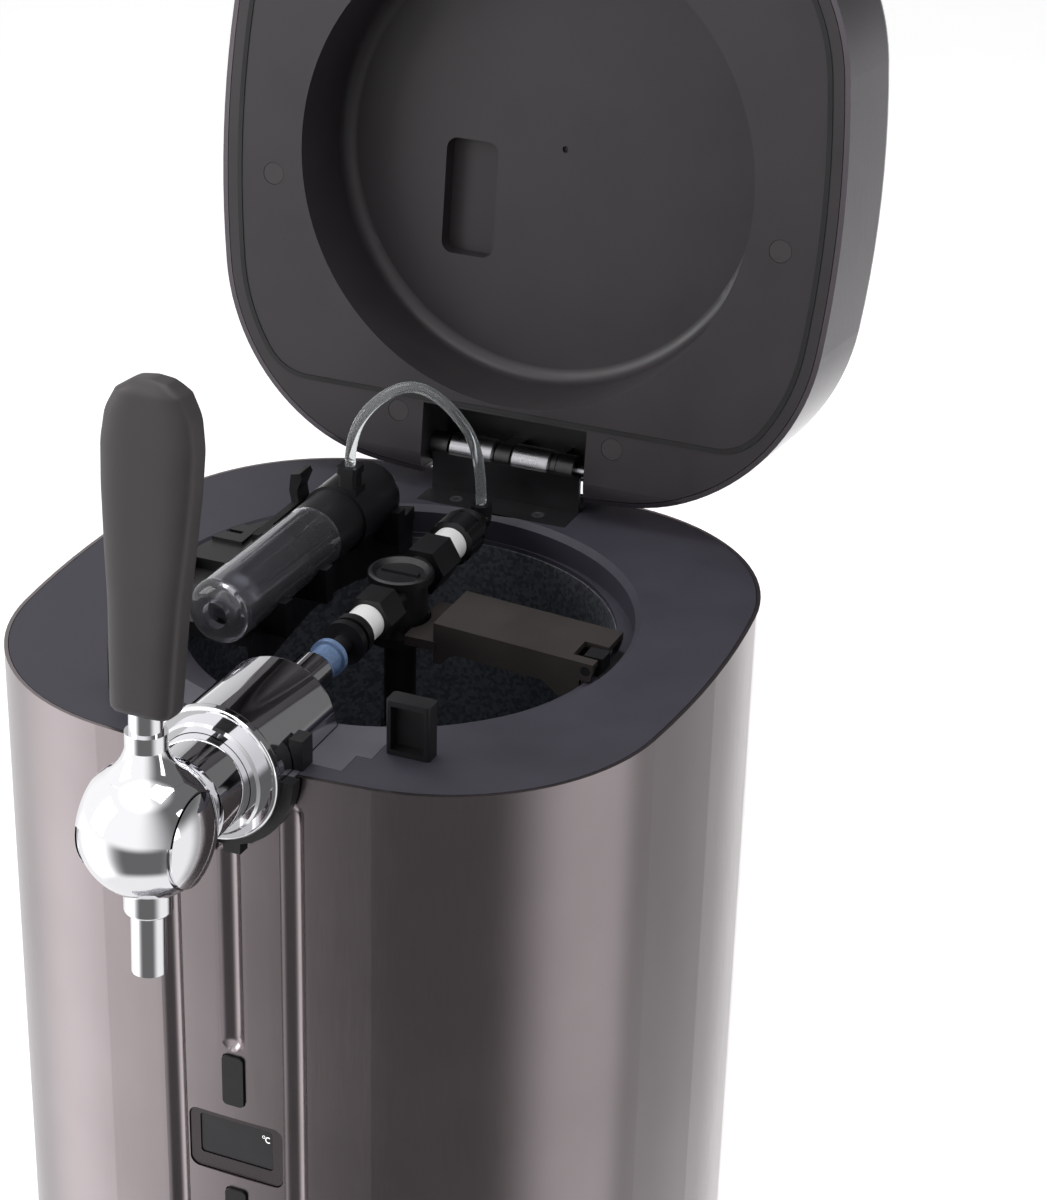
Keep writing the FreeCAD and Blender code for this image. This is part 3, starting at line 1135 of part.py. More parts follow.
# Lid liner with its round recess, pocket, seal groove and notches
liner_top = lid_bottom + liner_wall
recess_y = -1.5
floor_z = lid_bottom + recess_depth
rim_radius = recess_radius - 0.5
liner = body_block(lid_wall + fit_gap, lid_bottom, liner_top)
cup_out = cone(rim_radius + liner_wall, recess_floor_radius + liner_wall, (0, recess_y, lid_bottom),
               (0, recess_y, floor_z + liner_wall))
cup_in = cone(rim_radius + 0.3, recess_floor_radius, (0, recess_y, lid_bottom - 0.01), (0, recess_y, floor_z))
cup_in = cup_in.makeFillet(recess_round, [edge for edge in cup_in.Edges if edge.BoundBox.ZMin > floor_z - 0.1])
pocket_half_x, pocket_half_y = pocket_width / 2, pocket_length / 2
pocket_out = rounded_block(
    pocket_x - pocket_half_x - liner_wall, pocket_x + pocket_half_x + liner_wall,
    pocket_y - pocket_half_y - liner_wall, pocket_y + pocket_half_y + liner_wall,
    floor_z, floor_z + pocket_depth + liner_wall, pocket_corner + liner_wall, AXIS_Z)
pocket_in = rounded_block(pocket_x - pocket_half_x, pocket_x + pocket_half_x, pocket_y - pocket_half_y,
                          pocket_y + pocket_half_y, floor_z - 3, floor_z + pocket_depth, pocket_corner, AXIS_Z)
catch_out, catch_in = [], []
for x in (-catch_x, catch_x):
    half = catch_width / 2 + 2.5
    catch_in.append(block(x - half, x + half, catch_y - 7.5, catch_y + 11, lid_bottom - 1,
                          deck_height + catch_height + 2.5))
    catch_out.append(block(x - half - 2, x + half + 2, catch_y - 9.5, catch_y + 11, lid_bottom,
                           deck_height + catch_height + 4.5))
notch_out = block(-notch_half_width - 2.2, notch_half_width + 2.2, notch_front_y - 0.9, back_y - 2.8, lid_bottom,
                  lid_bottom + notch_height + 2.2)
arch_out = tap_at(tap_rod(arch_radius + liner_wall, 62, 110)).fuse(
    block(-arch_radius - 4.6, arch_radius + 4.6, front_y + 3, front_y + 19, lid_bottom, deck_height + 15.4))
arch_out = arch_out.common(block(-60, 60, front_y + 3.2, front_y + 43, lid_bottom, lid_bottom + lid_height))
for piece in [cup_out, pocket_out, notch_out, arch_out] + catch_out:
    liner = liner.fuse(piece)
liner = liner.common(body_block(lid_wall + fit_gap, lid_bottom, lid_top - lid_wall - 1))
for piece in [cup_in, pocket_in, notch, arch, swept_corner] + catch_in:
    liner = liner.cut(piece)


def seal_block(inset, z0, z1):
    """The rounded outline of the seal with its straight back run."""
    shape = body_block(inset, z0, z1).common(block(-150, 150, -150, gasket_back_y - inset + gasket_inset, z0, z1))
    corners = [edge for edge in shape.Edges if edge.BoundBox.ZLength > z1 - z0 - 0.01
               and edge.BoundBox.YMin > gasket_back_y - inset + gasket_inset - 0.05]
    return shape.makeFillet(gasket_corner - inset + gasket_inset, corners)


gasket_back_y = notch_front_y - 0.7
seal_width = 2.2
groove = seal_block(gasket_inset, lid_bottom - 1, lid_bottom + 1.5).cut(
    seal_block(gasket_inset + seal_width, lid_bottom - 2, lid_bottom + 2.5))
arch_bridge = block(-arch_radius - 5.5, arch_radius + 5.5, front_y - 3, front_y + 27, 0, lid_bottom + lid_height)
liner = liner.cut(groove.cut(arch_bridge))
seal = seal_block(gasket_inset + 0.1, lid_bottom - 0.35, lid_bottom + 1.5).cut(
    seal_block(gasket_inset + seal_width - 0.1, lid_bottom - 2, lid_bottom + 2.5))
seal = seal.cut(block(-arch_radius - 5.7, arch_radius + 5.7, front_y - 3, front_y + 27, 0, lid_bottom + lid_height))
save("lid_gasket", lid_at(seal))
cap_places = [(-screw_cap_side_x, screw_cap_side_y), (screw_cap_side_x, screw_cap_side_y),
              (-screw_cap_end_x, screw_cap_end_y), (screw_cap_end_x, screw_cap_end_y), (-front_cap_x, -front_cap_y),
              (front_cap_x, -front_cap_y)]
buttons = []
for x, y in cap_places:
    liner = liner.cut(rod(screw_cap_radius + 0.15, (x, y, lid_bottom - 1), (x, y, lid_bottom + 1.4)))
    buttons.append(rod(screw_cap_radius, (x, y, lid_bottom + 0.15), (x, y, lid_bottom + 1.4)))
liner = liner.cut(rod(1.4, (5, -5, floor_z - 1), (5, -5, floor_z + 1.6)))
save("lid_liner", lid_at(liner.removeSplitter()))
save("lid_screw_caps", lid_at(group(buttons)))
leaf = block(-notch_half_width + 1, notch_half_width - 1, hinge_y - 14, hinge_y + 7,
             lid_bottom + notch_height - leaf_thickness, lid_bottom + notch_height)
for x0, x1 in (leaf_ear, (18.8, 21.1)):
    ear = hinge_rod(6.2, x0, x1).fuse(block(x0, x1, hinge_y - 5, hinge_y + 5, pin_axis,
                                            lid_bottom + notch_height - 0.5))
    leaf = leaf.fuse(ear)
leaf = leaf.cut(hinge_rod(hinge_pin_radius + running_gap, -50, 50))
save("lid_hinge_leaf", lid_at(leaf.removeSplitter()))

# Drip tray with its tongue and grille
tray_front = front_y - tray_reach
tray_back = front_y - 0.8
half_tray = tray_width / 2


def tray_block(inset, z0, z1):
    shape = block(-half_tray + inset, half_tray - inset, tray_front + inset, tray_back - inset, z0, z1)
    corners = [edge for edge in edges_along(shape, AXIS_Z) if edge.BoundBox.YMax < tray_front + inset + 1]
    return shape.makeFillet(tray_corner - inset, corners)


tray_low, tray_high = 1.0, 1.0 + tray_height
tray = tray_block(0, tray_low, tray_high)
tray = tray.makeFillet(1.6, [edge for edge in tray.Edges if edge.BoundBox.ZMax < tray_low + 0.1
                             and edge.BoundBox.YMin < tray_back - 1])
tray = tray.cut(tray_block(tray_wall, tray_low + 2.4, tray_high + 1))
rim = tray_block(tray_wall - 0.5, tray_high - 8, tray_high - 5).cut(tray_block(tray_wall + 2.5, 0, 60))
tray = tray.fuse(rim)
behind_front = body_block(-0.6, 0, 60)
tray = tray.cut(behind_front.common(block(-150, 150, front_y - 13, 0, 0, 60)))
tongue = block(-tongue_half, tongue_half, tray_back - 6, front_y + 82, 3.6, 7.4).cut(
    block(-tongue_half + 14, tongue_half - 14, front_y + 25, front_y + 83, 3, 8))
tray = tray.fuse(tongue)
save("drip_tray", tray.removeSplitter())
grid = tray_block(tray_wall + 0.4, tray_high - 5, tray_high - 5 + grid_thickness)
grid = grid.cut(body_block(-3.4, 0, 60))
for step in range(15):
    x = (step - 7) * grid_slot_pitch
    reach = tray_front + 9 + max(0, abs(x) - (half_tray - tray_corner)) * 0.62
    grid = grid.cut(rounded_block(x - grid_slot_width / 2, x + grid_slot_width / 2, reach, tray_back - 10,
                                  tray_high - 9, tray_high, 2.4, AXIS_Z))
save("drip_grille", grid.removeSplitter())
print("parts", len(os.listdir("parts")))
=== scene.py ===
import math

import bpy
import numpy as np
from mathutils import Matrix


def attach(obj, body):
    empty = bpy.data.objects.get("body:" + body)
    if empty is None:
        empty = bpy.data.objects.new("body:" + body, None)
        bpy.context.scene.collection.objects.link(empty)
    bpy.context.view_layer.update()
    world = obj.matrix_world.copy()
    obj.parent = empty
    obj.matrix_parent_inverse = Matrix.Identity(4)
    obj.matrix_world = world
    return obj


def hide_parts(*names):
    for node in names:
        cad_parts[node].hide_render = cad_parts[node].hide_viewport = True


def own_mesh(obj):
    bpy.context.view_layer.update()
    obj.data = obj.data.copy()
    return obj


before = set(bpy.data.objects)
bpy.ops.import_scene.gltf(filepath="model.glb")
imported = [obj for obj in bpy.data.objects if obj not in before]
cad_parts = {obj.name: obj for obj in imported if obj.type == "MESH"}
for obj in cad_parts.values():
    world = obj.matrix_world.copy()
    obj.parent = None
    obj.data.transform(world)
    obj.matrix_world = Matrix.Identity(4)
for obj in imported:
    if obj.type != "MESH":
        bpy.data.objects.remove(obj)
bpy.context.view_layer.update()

bl_info = {
    "name": "Mini keg beer dispenser",
    "version": (1, 0, 0),
    "blender": (4, 5, 0),
    "location": "View3D > Sidebar > Dispenser",
    "description": "Finishes, light and camera for a mini keg beer dispenser",
    "category": "Object",
}

# Places shared with the solids, in metres and radians
MM = 0.001
DECK = 0.375
TAP_CENTRE = (0.0, -0.1943, 0.3772)
TAP_TILT = math.radians(2.5)
HANDLE_LEAN = math.radians(4.0)
HANDLE_ROOT = (0, 0, 0.040)

# The gas tube's route, in millimetres
TUBE_ROUTE = ((-40.0, 47.9, 410.5), (-40.0, 47.9, 423.5), (-33.03, 54.85, 437.5), (-21.14, 66.71, 443.5),
              (-9.66, 78.17, 432.0), (1.0, 88.8, 408.5), (1.0, 88.8, 384.5))

# The handle's half widths at heights over the ball's middle, in millimetres
HANDLE_HEIGHTS = (45.5, 60, 85, 105, 125, 140, 151, 158.4, 162.2, 162.9)
HANDLE_HALVES = (12.0, 12.7, 13.9, 15.8, 17.4, 17.9, 16.4, 12.4, 6.6, 1.2)
HANDLE_POWER = 4.2

# The lit mark in the display: name, x, drop below the deck, radius in millimetres, start and end of its arc
MARKS = (("degree_ring", 11.7, 163.6, 0.62, 0, 360), ("letter_c", 13.6, 164.6, 1.25, 50, 310))
MARK_Y = -135.62

# The camera of the photograph: angles in degrees, picture size and focal length in pixels
YAW, PITCH, ROLL = 25.5258, 27.2023, 0.0504
TARGET_MM = (9.569, -33.498, 0.0)
DISTANCE = 1.158863
FOCAL, PICTURE_WIDTH, PICTURE_HEIGHT = 2993.98, 1047, 1200
CENTRE_X, CENTRE_Y = 373.66, 648.0
SENSOR_WIDTH = 36.0

# Soft boxes and dark cards that stand in the white studio: bearing, half width of the core and of the whole
# in degrees, and how much lighter or darker than the white each one is
SOFT_BOXES = ((-156.0, 5.0, 45.0, 0.95), (106.0, 6.0, 30.0, 1.4))
DARK_CARDS = ((-70.0, 28.0, 70.0, 0.85), (57.0, 12.0, 30.0, 0.55))
DEGREES = 57.29578


# Makes of finish: noise sizes in millimetres with their detail, then relief in millimetres and its strength
# Drawn sheet steel under thin satin lacquer, whose upright lines spread each reflection sideways
SATIN = {"cloud": (60.0, 2.0), "rough": (0.35, 3.0), "relief": (0.35, 3.0, 0.006, 0.35), "drawn": 0.02,
         "sockets": {"Metallic": 1.0, "Coat Weight": 0.12, "Coat Roughness": 0.3}}
BEZEL = {**SATIN, "rough": (0.5, 3.0), "relief": (0.5, 3.0, 0.006, 0.35)}
# Injection moulded ABS from a spark-eroded tool: a fine grain that keeps highlights soft
MOULDED = {"cloud": (35.0, 3.0), "rough": (35.0, 3.0), "relief": (0.5, 2.0, 0.02, 0.5)}
SOFT_TOUCH = {**MOULDED, "relief": (0.7, 2.0, 0.015, 0.5)}
RUBBER = {**MOULDED, "relief": (0.8, 2.0, 0.05, 0.5)}
FOAM = {**MOULDED, "relief": (1.5, 2.0, 0.3, 0.5)}
# Bright plating over cast brass: sharp reflections with a trace of waviness
PLATED = {"rough": (18.0, 4.0), "relief": (22.0, 1.0, 0.03, 0.25), "sockets": {"Metallic": 1.0}}
# Rolled or cast aluminium, whose crystals show as pale and dark flecks
ROLLED = {"rough": (0.8, 4.0), "relief": (0.8, 4.0, 0.02, 0.5), "sockets": {"Metallic": 1.0}, "flecks": 1.6}
CAST = {**ROLLED, "flecks": 1.5}
# Extruded or moulded clear plastic, with slight ripples that bend what is seen through it
COLLET = {"rough": (6.0, 2.0), "relief": (6.0, 2.0, 0.02, 0.3), "sockets": {"Transmission Weight": 0.7, "IOR": 1.45}}
SLEEVE = {**COLLET, "sockets": {"Transmission Weight": 0.92, "IOR": 1.45}}
CLEAR_TUBE = {**COLLET, "sockets": {"Transmission Weight": 0.9, "IOR": 1.4}}
# A lit segment behind dark glass
LIT = {"rough": (0.4, 4.0), "sockets": {"Emission Color": (1.0, 1.0, 1.0, 1.0), "Emission Strength": 1.4}}

# Every finish: its make, dark and light colour, roughness from and to, and the pieces that wear it
FINISHES = {
    "body_satin_lacquer": (SATIN, "#8e8587", "#948b8d", 0.2, 0.27, ("body_shell",)),
    "lid_satin_lacquer": (SATIN, "#625d62", "#686368", 0.3, 0.38, ("lid_shell",)),
    "bezel_lacquer": (BEZEL, "#544e50", "#5a5456", 0.25, 0.33, ("display_bezel",)),
    "deck_moulded": (MOULDED, "#2e2c36", "#33313c", 0.5, 0.62, ("top_deck",)),
    "saddle_moulded": (MOULDED, "#525159", "#595861", 0.46, 0.56, ("tap_saddle",)),
    # Lid liner: black plastic whose colour is set darker still, as painted shade for the shade on the open lid's
    # inner face
    "liner_moulded_painted_shade": (MOULDED, "#2f2b2e", "#343033", 0.4, 0.52, ("lid_liner",)),
    "arm_moulded": (MOULDED, "#2c2726", "#322d2b", 0.42, 0.55, ("connector_arm",)),
    "cap_moulded": (MOULDED, "#383436", "#3d393b", 0.5, 0.6, ("lid_screw_caps",)),
    "handle_soft_touch": (SOFT_TOUCH, "#383435", "#3e3a3b", 0.46, 0.58, ("tap_handle",)),
    "white_moulded": (MOULDED, "#f1f1f0", "#ffffff", 0.3, 0.42, ("white_collars",)),
    "display_window_gloss": (MOULDED, "#2a282b", "#302e31", 0.2, 0.3, ("display_window",)),
    "printed_board": (MOULDED, "#174a31", "#1f5a3b", 0.35, 0.5, ("control_board",)),
    "cell_ceramic": (MOULDED, "#e3e1dc", "#efede8", 0.5, 0.65, ("peltier_module",)),
    "rubber_moulded": (RUBBER, "#121113", "#171618", 0.6, 0.75, ("rubber_feet", "lid_gasket")),
    "foam_jacket": (FOAM, "#dedcd4", "#eceae4", 0.85, 0.95, ("well_insulation",)),
    "bright_chrome": (PLATED, "#e9e9ec", "#e9e9ec", 0.03, 0.07,
                      ("tap_body", "tap_barrel", "tap_flange", "tap_spout", "tap_side_caps", "tap_hood",
                       "push_fit_body")),
    "satin_steel": (PLATED, "#9c9ca0", "#9c9ca0", 0.25, 0.38,
                    ("hinge_pin", "hinge_screws", "hinge_dampers", "tap_plunger", "co2_cartridge",
                     "power_supply", "drip_grille")),
    "rolled_aluminium": (ROLLED, "#8f929a", "#b6b9c0", 0.38, 0.55, ("cooling_well",)),
    "cast_alloy": (CAST, "#a9abb0", "#bdbfc3", 0.4, 0.6, ("cold_block", "heat_sink")),
    "blue_collet": (COLLET, "#a9c4ea", "#a9c4ea", 0.084, 0.156, ("push_fit_collet",)),
    "smoked_sleeve": (SLEEVE, "#a4a4aa", "#a4a4aa", 0.035, 0.065, ("co2_sleeve",)),
    "clear_tube_extruded": (CLEAR_TUBE, "#eef2f2", "#eef2f2", 0.035, 0.065, ("co2_tube",)),
    "lit_mark": (LIT, "#101010", "#101010", 0.4, 0.6, ()),
    "black_moulded": (MOULDED, "#0d0d0f", "#131316", 0.3, 0.45,
                      ("base_pan", "rear_grille", "fan_frame", "fan_rotor", "power_inlet", "hinge_base",
                       "lid_catches", "barrel_clips", "beer_stem", "t_body", "union_nuts", "elbow_nut",
                       "elbow_fitting", "riser_tube", "holder_cradle", "co2_regulator", "tube_fitting",
                       "arm_bracket", "lid_hinge_leaf", "button_up", "button_down", "co2_clip", "t_cap",
                       "drip_tray")),
}


# Colour and node helpers
def linear(text):
    """Linear colour of an sRGB hex code."""
    parts = [int(text[i:i + 2], 16) / 255 for i in (1, 3, 5)]
    out = [c / 12.92 if c <= 0.04045 else ((c + 0.055) / 1.055) ** 2.4 for c in parts]
    return (*out, 1.0)


def add(tree, kind, inputs=None, **settings):
    """One shader node: its settings, and its inputs as values or as links from other sockets."""
    node = tree.nodes.new(kind)
    for key, value in settings.items():
        setattr(node, key, value)
    for key, value in (inputs or {}).items():
        if isinstance(value, bpy.types.NodeSocket):
            tree.links.new(value, node.inputs[key])
        else:
            node.inputs[key].default_value = value
    return node


def finish(name, make, dark, light, low, high):
    """One material: colour from a soft cloud or from flecks, roughness and relief from noise of a real size."""
    material = bpy.data.materials.new(name)
    material.use_nodes = True
    tree = material.node_tree
    shader = tree.nodes["Principled BSDF"]
    place = add(tree, "ShaderNodeTexCoord").outputs["Object"]
    drawn = add(tree, "ShaderNodeMapping", {"Vector": place, "Scale": (1, 1, make.get("drawn", 1))})
    pattern = {}
    for use, way in (("cloud", place), ("rough", drawn.outputs["Vector"]), ("relief", drawn.outputs["Vector"])):
        if use in make:
            size, detail = make[use][:2]
            noise = add(tree, "ShaderNodeTexNoise", {"Vector": way, "Scale": 1 / (size * MM), "Detail": detail,
                                                     "Roughness": 0.6})
            pattern[use] = noise.outputs["Fac"]
    if "flecks" in make:
        cells = add(tree, "ShaderNodeTexVoronoi", {"Vector": place, "Scale": 1 / (make["flecks"] * MM)})
        pattern["cloud"] = cells.outputs["Color"]
    shader.inputs["Base Color"].default_value = linear(dark)
    for use, start, end in (("cloud", 0.0, 1.0), ("rough", low, high)):
        if use not in pattern:
            continue
        span = add(tree, "ShaderNodeMapRange", {"Value": pattern[use], "From Min": 0.3, "From Max": 0.7,
                                                "To Min": start, "To Max": end}).outputs["Result"]
        if use == "rough":
            tree.links.new(span, shader.inputs["Roughness"])
        else:
            blend = add(tree, "ShaderNodeMix", {"Factor": span, "A": linear(dark), "B": linear(light)},
                        data_type="RGBA")
            tree.links.new(blend.outputs["Result"], shader.inputs["Base Color"])
    if "relief" in make:
        height, strength = make["relief"][2:]
        relief = add(tree, "ShaderNodeBump", {"Height": pattern["relief"], "Strength": strength,
                                              "Distance": height * MM})
        tree.links.new(relief.outputs["Normal"], shader.inputs["Normal"])
    for socket, value in make.get("sockets", {}).items():
        shader.inputs[socket].default_value = value
    return material


def studio_cards(tree):
    """What shiny pieces see: the white studio with its soft boxes and dark cards, by bearing in degrees."""
    way = add(tree, "ShaderNodeTexCoord").outputs["Generated"]
    part = add(tree, "ShaderNodeSeparateXYZ", {"Vector": way})
    turn = add(tree, "ShaderNodeMath", {0: part.outputs["Y"], 1: part.outputs["X"]}, operation="ARCTAN2")
    bearing = add(tree, "ShaderNodeMath", {0: turn.outputs[0], 1: DEGREES}, operation="MULTIPLY").outputs[0]
    slope = add(tree, "ShaderNodeMath", {0: part.outputs["Z"]}, operation="ARCSINE")
    rise = add(tree, "ShaderNodeMath", {0: slope.outputs[0], 1: DEGREES}, operation="MULTIPLY").outputs[0]

    # Smooth steps by height: start and end in degrees, value at each
    steps = {}
    for name, start, end, low, high in (("floor_glow", -44, -58, 1.0, 0.0), ("low_card", -33, -41, 0.0, 0.3),
                                        ("ceiling", 50, 66, 0.16, 0.8), ("upper", -12, 2, 0.0, 1.0)):
        steps[name] = add(tree, "ShaderNodeMapRange", {"Value": rise, "From Min": start, "From Max": end,
                                                       "To Min": low, "To Max": high},
                          interpolation_type="SMOOTHSTEP").outputs["Result"]

    # Smooth cards by bearing: centre, core and whole half width, change, and what scales it
    total = 1.0
    rows = [(*row, steps["floor_glow"], "ADD") for row in SOFT_BOXES]
    rows += [(*row, steps["floor_glow"], "SUBTRACT") for row in DARK_CARDS]
    rows += [(75.0, 0.0, 40.0, 1.0, steps["low_card"], "ADD"), (-140.0, 60.0, 130.0, 1.0, 1.0, "FRONT")]
    front = None
    for centre, core, whole, change, scale, operation in rows:
        off = add(tree, "ShaderNodeMath", {0: bearing, 1: centre}, operation="SUBTRACT").outputs[0]
        fold = add(tree, "ShaderNodeMath", {0: off, 1: 180.0}, operation="PINGPONG").outputs[0]
        step = add(tree, "ShaderNodeMapRange", {"Value": fold, "From Min": whole, "From Max": core,
                                                "To Min": 0.0, "To Max": change},
                   interpolation_type="SMOOTHSTEP").outputs["Result"]
        scaled = add(tree, "ShaderNodeMath", {0: step, 1: scale}, operation="MULTIPLY").outputs[0]
        if operation == "FRONT":
            front = scaled
        else:
            total = add(tree, "ShaderNodeMath", {0: total, 1: scaled}, operation=operation).outputs[0]
    ceiling = add(tree, "ShaderNodeMath", {0: front, 1: steps["ceiling"]}, operation="ADD").outputs[0]
    rest = add(tree, "ShaderNodeMath", {0: 1.0, 1: steps["upper"]}, operation="SUBTRACT").outputs[0]
    sides = add(tree, "ShaderNodeMath", {0: total, 1: rest}, operation="MULTIPLY").outputs[0]
    above = add(tree, "ShaderNodeMath", {0: ceiling, 1: steps["upper"]}, operation="MULTIPLY").outputs[0]
    return add(tree, "ShaderNodeMath", {0: sides, 1: above}, operation="ADD").outputs[0]


# Mesh helpers
def grid_object(name, points, closed_u, material, body):
    """A surface from a grid of points (rows along v, columns along u), with its ends filled."""
    rows, columns, _ = points.shape
    index = np.arange(rows * columns).reshape(rows, columns)
    wide = np.roll(index, -1, axis=1) if closed_u else index[:, 1:]
    base = index if closed_u else index[:, :-1]
    quads = np.stack([base[:-1], wide[:-1], wide[1:], base[1:]], axis=-1).reshape(-1, 4).tolist()
    faces = quads + ([index[0, ::-1].tolist(), index[-1].tolist()] if closed_u else [])
    mesh = bpy.data.meshes.new(name)
    mesh.from_pydata(points.reshape(-1, 3).tolist(), [], faces)
    mesh.update()
    mesh.polygons.foreach_set("use_smooth", np.ones(len(mesh.polygons), dtype=bool))
    mesh.materials.append(material)
    piece = bpy.data.objects.new(name, mesh)
    bpy.context.scene.collection.objects.link(piece)
    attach(piece, body)
    return piece


def turned(points, angle, centre):
    """Points turned about the X axis through a centre."""
    moved = points - np.array(centre)
    c, s = math.cos(angle), math.sin(angle)
    y, z = moved[..., 1] * c - moved[..., 2] * s, moved[..., 1] * s + moved[..., 2] * c
    return np.stack([moved[..., 0], y, z], axis=-1) + np.array(centre)


# Settings
class DispenserSizes(bpy.types.PropertyGroup):
    """Sizes of the pieces made here, in metres."""
    handle_low: bpy.props.FloatProperty(
        name="Handle foot", description="Height of the handle's foot over the ball's middle",
        default=0.0455, unit="LENGTH")
    handle_high: bpy.props.FloatProperty(
        name="Handle top", description="Height of the handle's top over the ball's middle",
        default=0.1629, unit="LENGTH")
    handle_thick: bpy.props.FloatProperty(
        name="Handle thickness", description="Thickness of the handle from front to back",
        default=0.0145, unit="LENGTH")
    tube_radius: bpy.props.FloatProperty(
        name="Gas tube radius", description="Outer radius of the clear gas tube",
        default=0.0023, unit="LENGTH")


class DispenserLight(bpy.types.PropertyGroup):
    """Strength of the lights and of the room."""
    key_power: bpy.props.FloatProperty(
        name="Left light", description="Power of the soft box on the left", default=24.0, unit="POWER")
    top_power: bpy.props.FloatProperty(
        name="Top light", description="Power of the soft box overhead", default=15.0, unit="POWER")
    side_power: bpy.props.FloatProperty(
        name="Right light", description="Power of the soft box on the right", default=6.0, unit="POWER")
    room: bpy.props.FloatProperty(
        name="Room light", description="Strength of the light from all round", default=0.32)
    floor_glow: bpy.props.FloatProperty(
        name="Floor glow", description="How much the ground is lifted towards white where it is seen",
        default=0.55)


class DISPENSER_OT_camera(bpy.types.Operator):
    """Places the camera that matches the photograph."""
    bl_idname = "dispenser.camera"
    bl_label = "Camera"

    def execute(self, context):
        yaw, pitch, roll = math.radians(YAW), math.radians(PITCH), math.radians(ROLL)
        back = np.array([math.sin(yaw) * math.cos(pitch), -math.cos(yaw) * math.cos(pitch), math.sin(pitch)])
        right = np.array([math.cos(yaw), math.sin(yaw), 0.0])
        up = np.cross(back, right)
        level = right * math.cos(roll) + up * math.sin(roll)
        upright = up * math.cos(roll) - right * math.sin(roll)
        place = np.array(TARGET_MM) * MM + back * DISTANCE + np.array([0, 0, DECK])
        data = bpy.data.cameras.new("photo_camera")
        data.sensor_width = SENSOR_WIDTH
        data.lens = FOCAL / PICTURE_HEIGHT * SENSOR_WIDTH
        data.shift_x = (PICTURE_WIDTH / 2 - CENTRE_X) / PICTURE_HEIGHT
        data.shift_y = (CENTRE_Y - PICTURE_HEIGHT / 2) / PICTURE_HEIGHT
        data.clip_start, data.clip_end = 0.05, 30.0
        camera = bpy.data.objects.new("photo_camera", data)
        matrix = Matrix.Identity(4)
        for column, axis in enumerate((level, upright, back)):
            for row in range(3):
                matrix[row][column] = axis[row]
        for row in range(3):
            matrix[row][3] = place[row]
        camera.matrix_world = matrix
        context.scene.collection.objects.link(camera)
        context.scene.camera = camera
        return {"FINISHED"}


class DISPENSER_OT_finishes(bpy.types.Operator):
    """Makes every finish and puts it on the pieces."""
    bl_idname = "dispenser.finishes"
    bl_label = "Finishes"

    def execute(self, context):
        for name, (make, dark, light, low, high, pieces) in FINISHES.items():
            material = finish(name, make, dark, light, low, high)
            for piece in pieces:
                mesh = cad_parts[piece].data
                mesh.materials.clear()
                mesh.materials.append(material)
        return {"FINISHED"}


class DISPENSER_OT_tube(bpy.types.Operator):
    """Clear gas tube swept along a smooth curve through its bends: P(t) of a quadratic B-spline over the route,
    with a circle of the tube's radius carried along it."""
    bl_idname = "dispenser.tube"
    bl_label = "Gas tube"

    def execute(self, context):
        sizes = context.scene.dispenser_sizes
        route = np.array(TUBE_ROUTE) * MM
        middles = (route[1:] + route[:-1]) / 2
        knots = np.vstack([route[:1], middles[1:-1], route[-1:]])
        t = np.linspace(0, 1, 16)[:, None]
        spans = [(1 - t) ** 2 * a + 2 * t * (1 - t) * b + t ** 2 * c
                 for a, b, c in zip(knots[:-1], route[1:-1], knots[1:])]
        path = np.vstack([span if i == 0 else span[1:] for i, span in enumerate(spans)])
        ahead = np.gradient(path, axis=0)
        ahead /= np.linalg.norm(ahead, axis=1)[:, None]
        across = np.cross(route[-1] - route[0], (0, 0, 1.0))
        across /= np.linalg.norm(across)
        other = np.cross(ahead, across)
        other /= np.linalg.norm(other, axis=1)[:, None]
        u = np.linspace(0, 2 * math.pi, 24, endpoint=False)
        ring = np.cos(u)[None, :, None] * across[None, None, :] + np.sin(u)[None, :, None] * other[:, None, :]
        points = path[:, None, :] + ring * sizes.tube_radius
        tube = grid_object("gas_tube", points, True, bpy.data.materials["clear_tube_extruded"], "machine")
        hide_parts("co2_tube")
        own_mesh(tube)
        return {"FINISHED"}


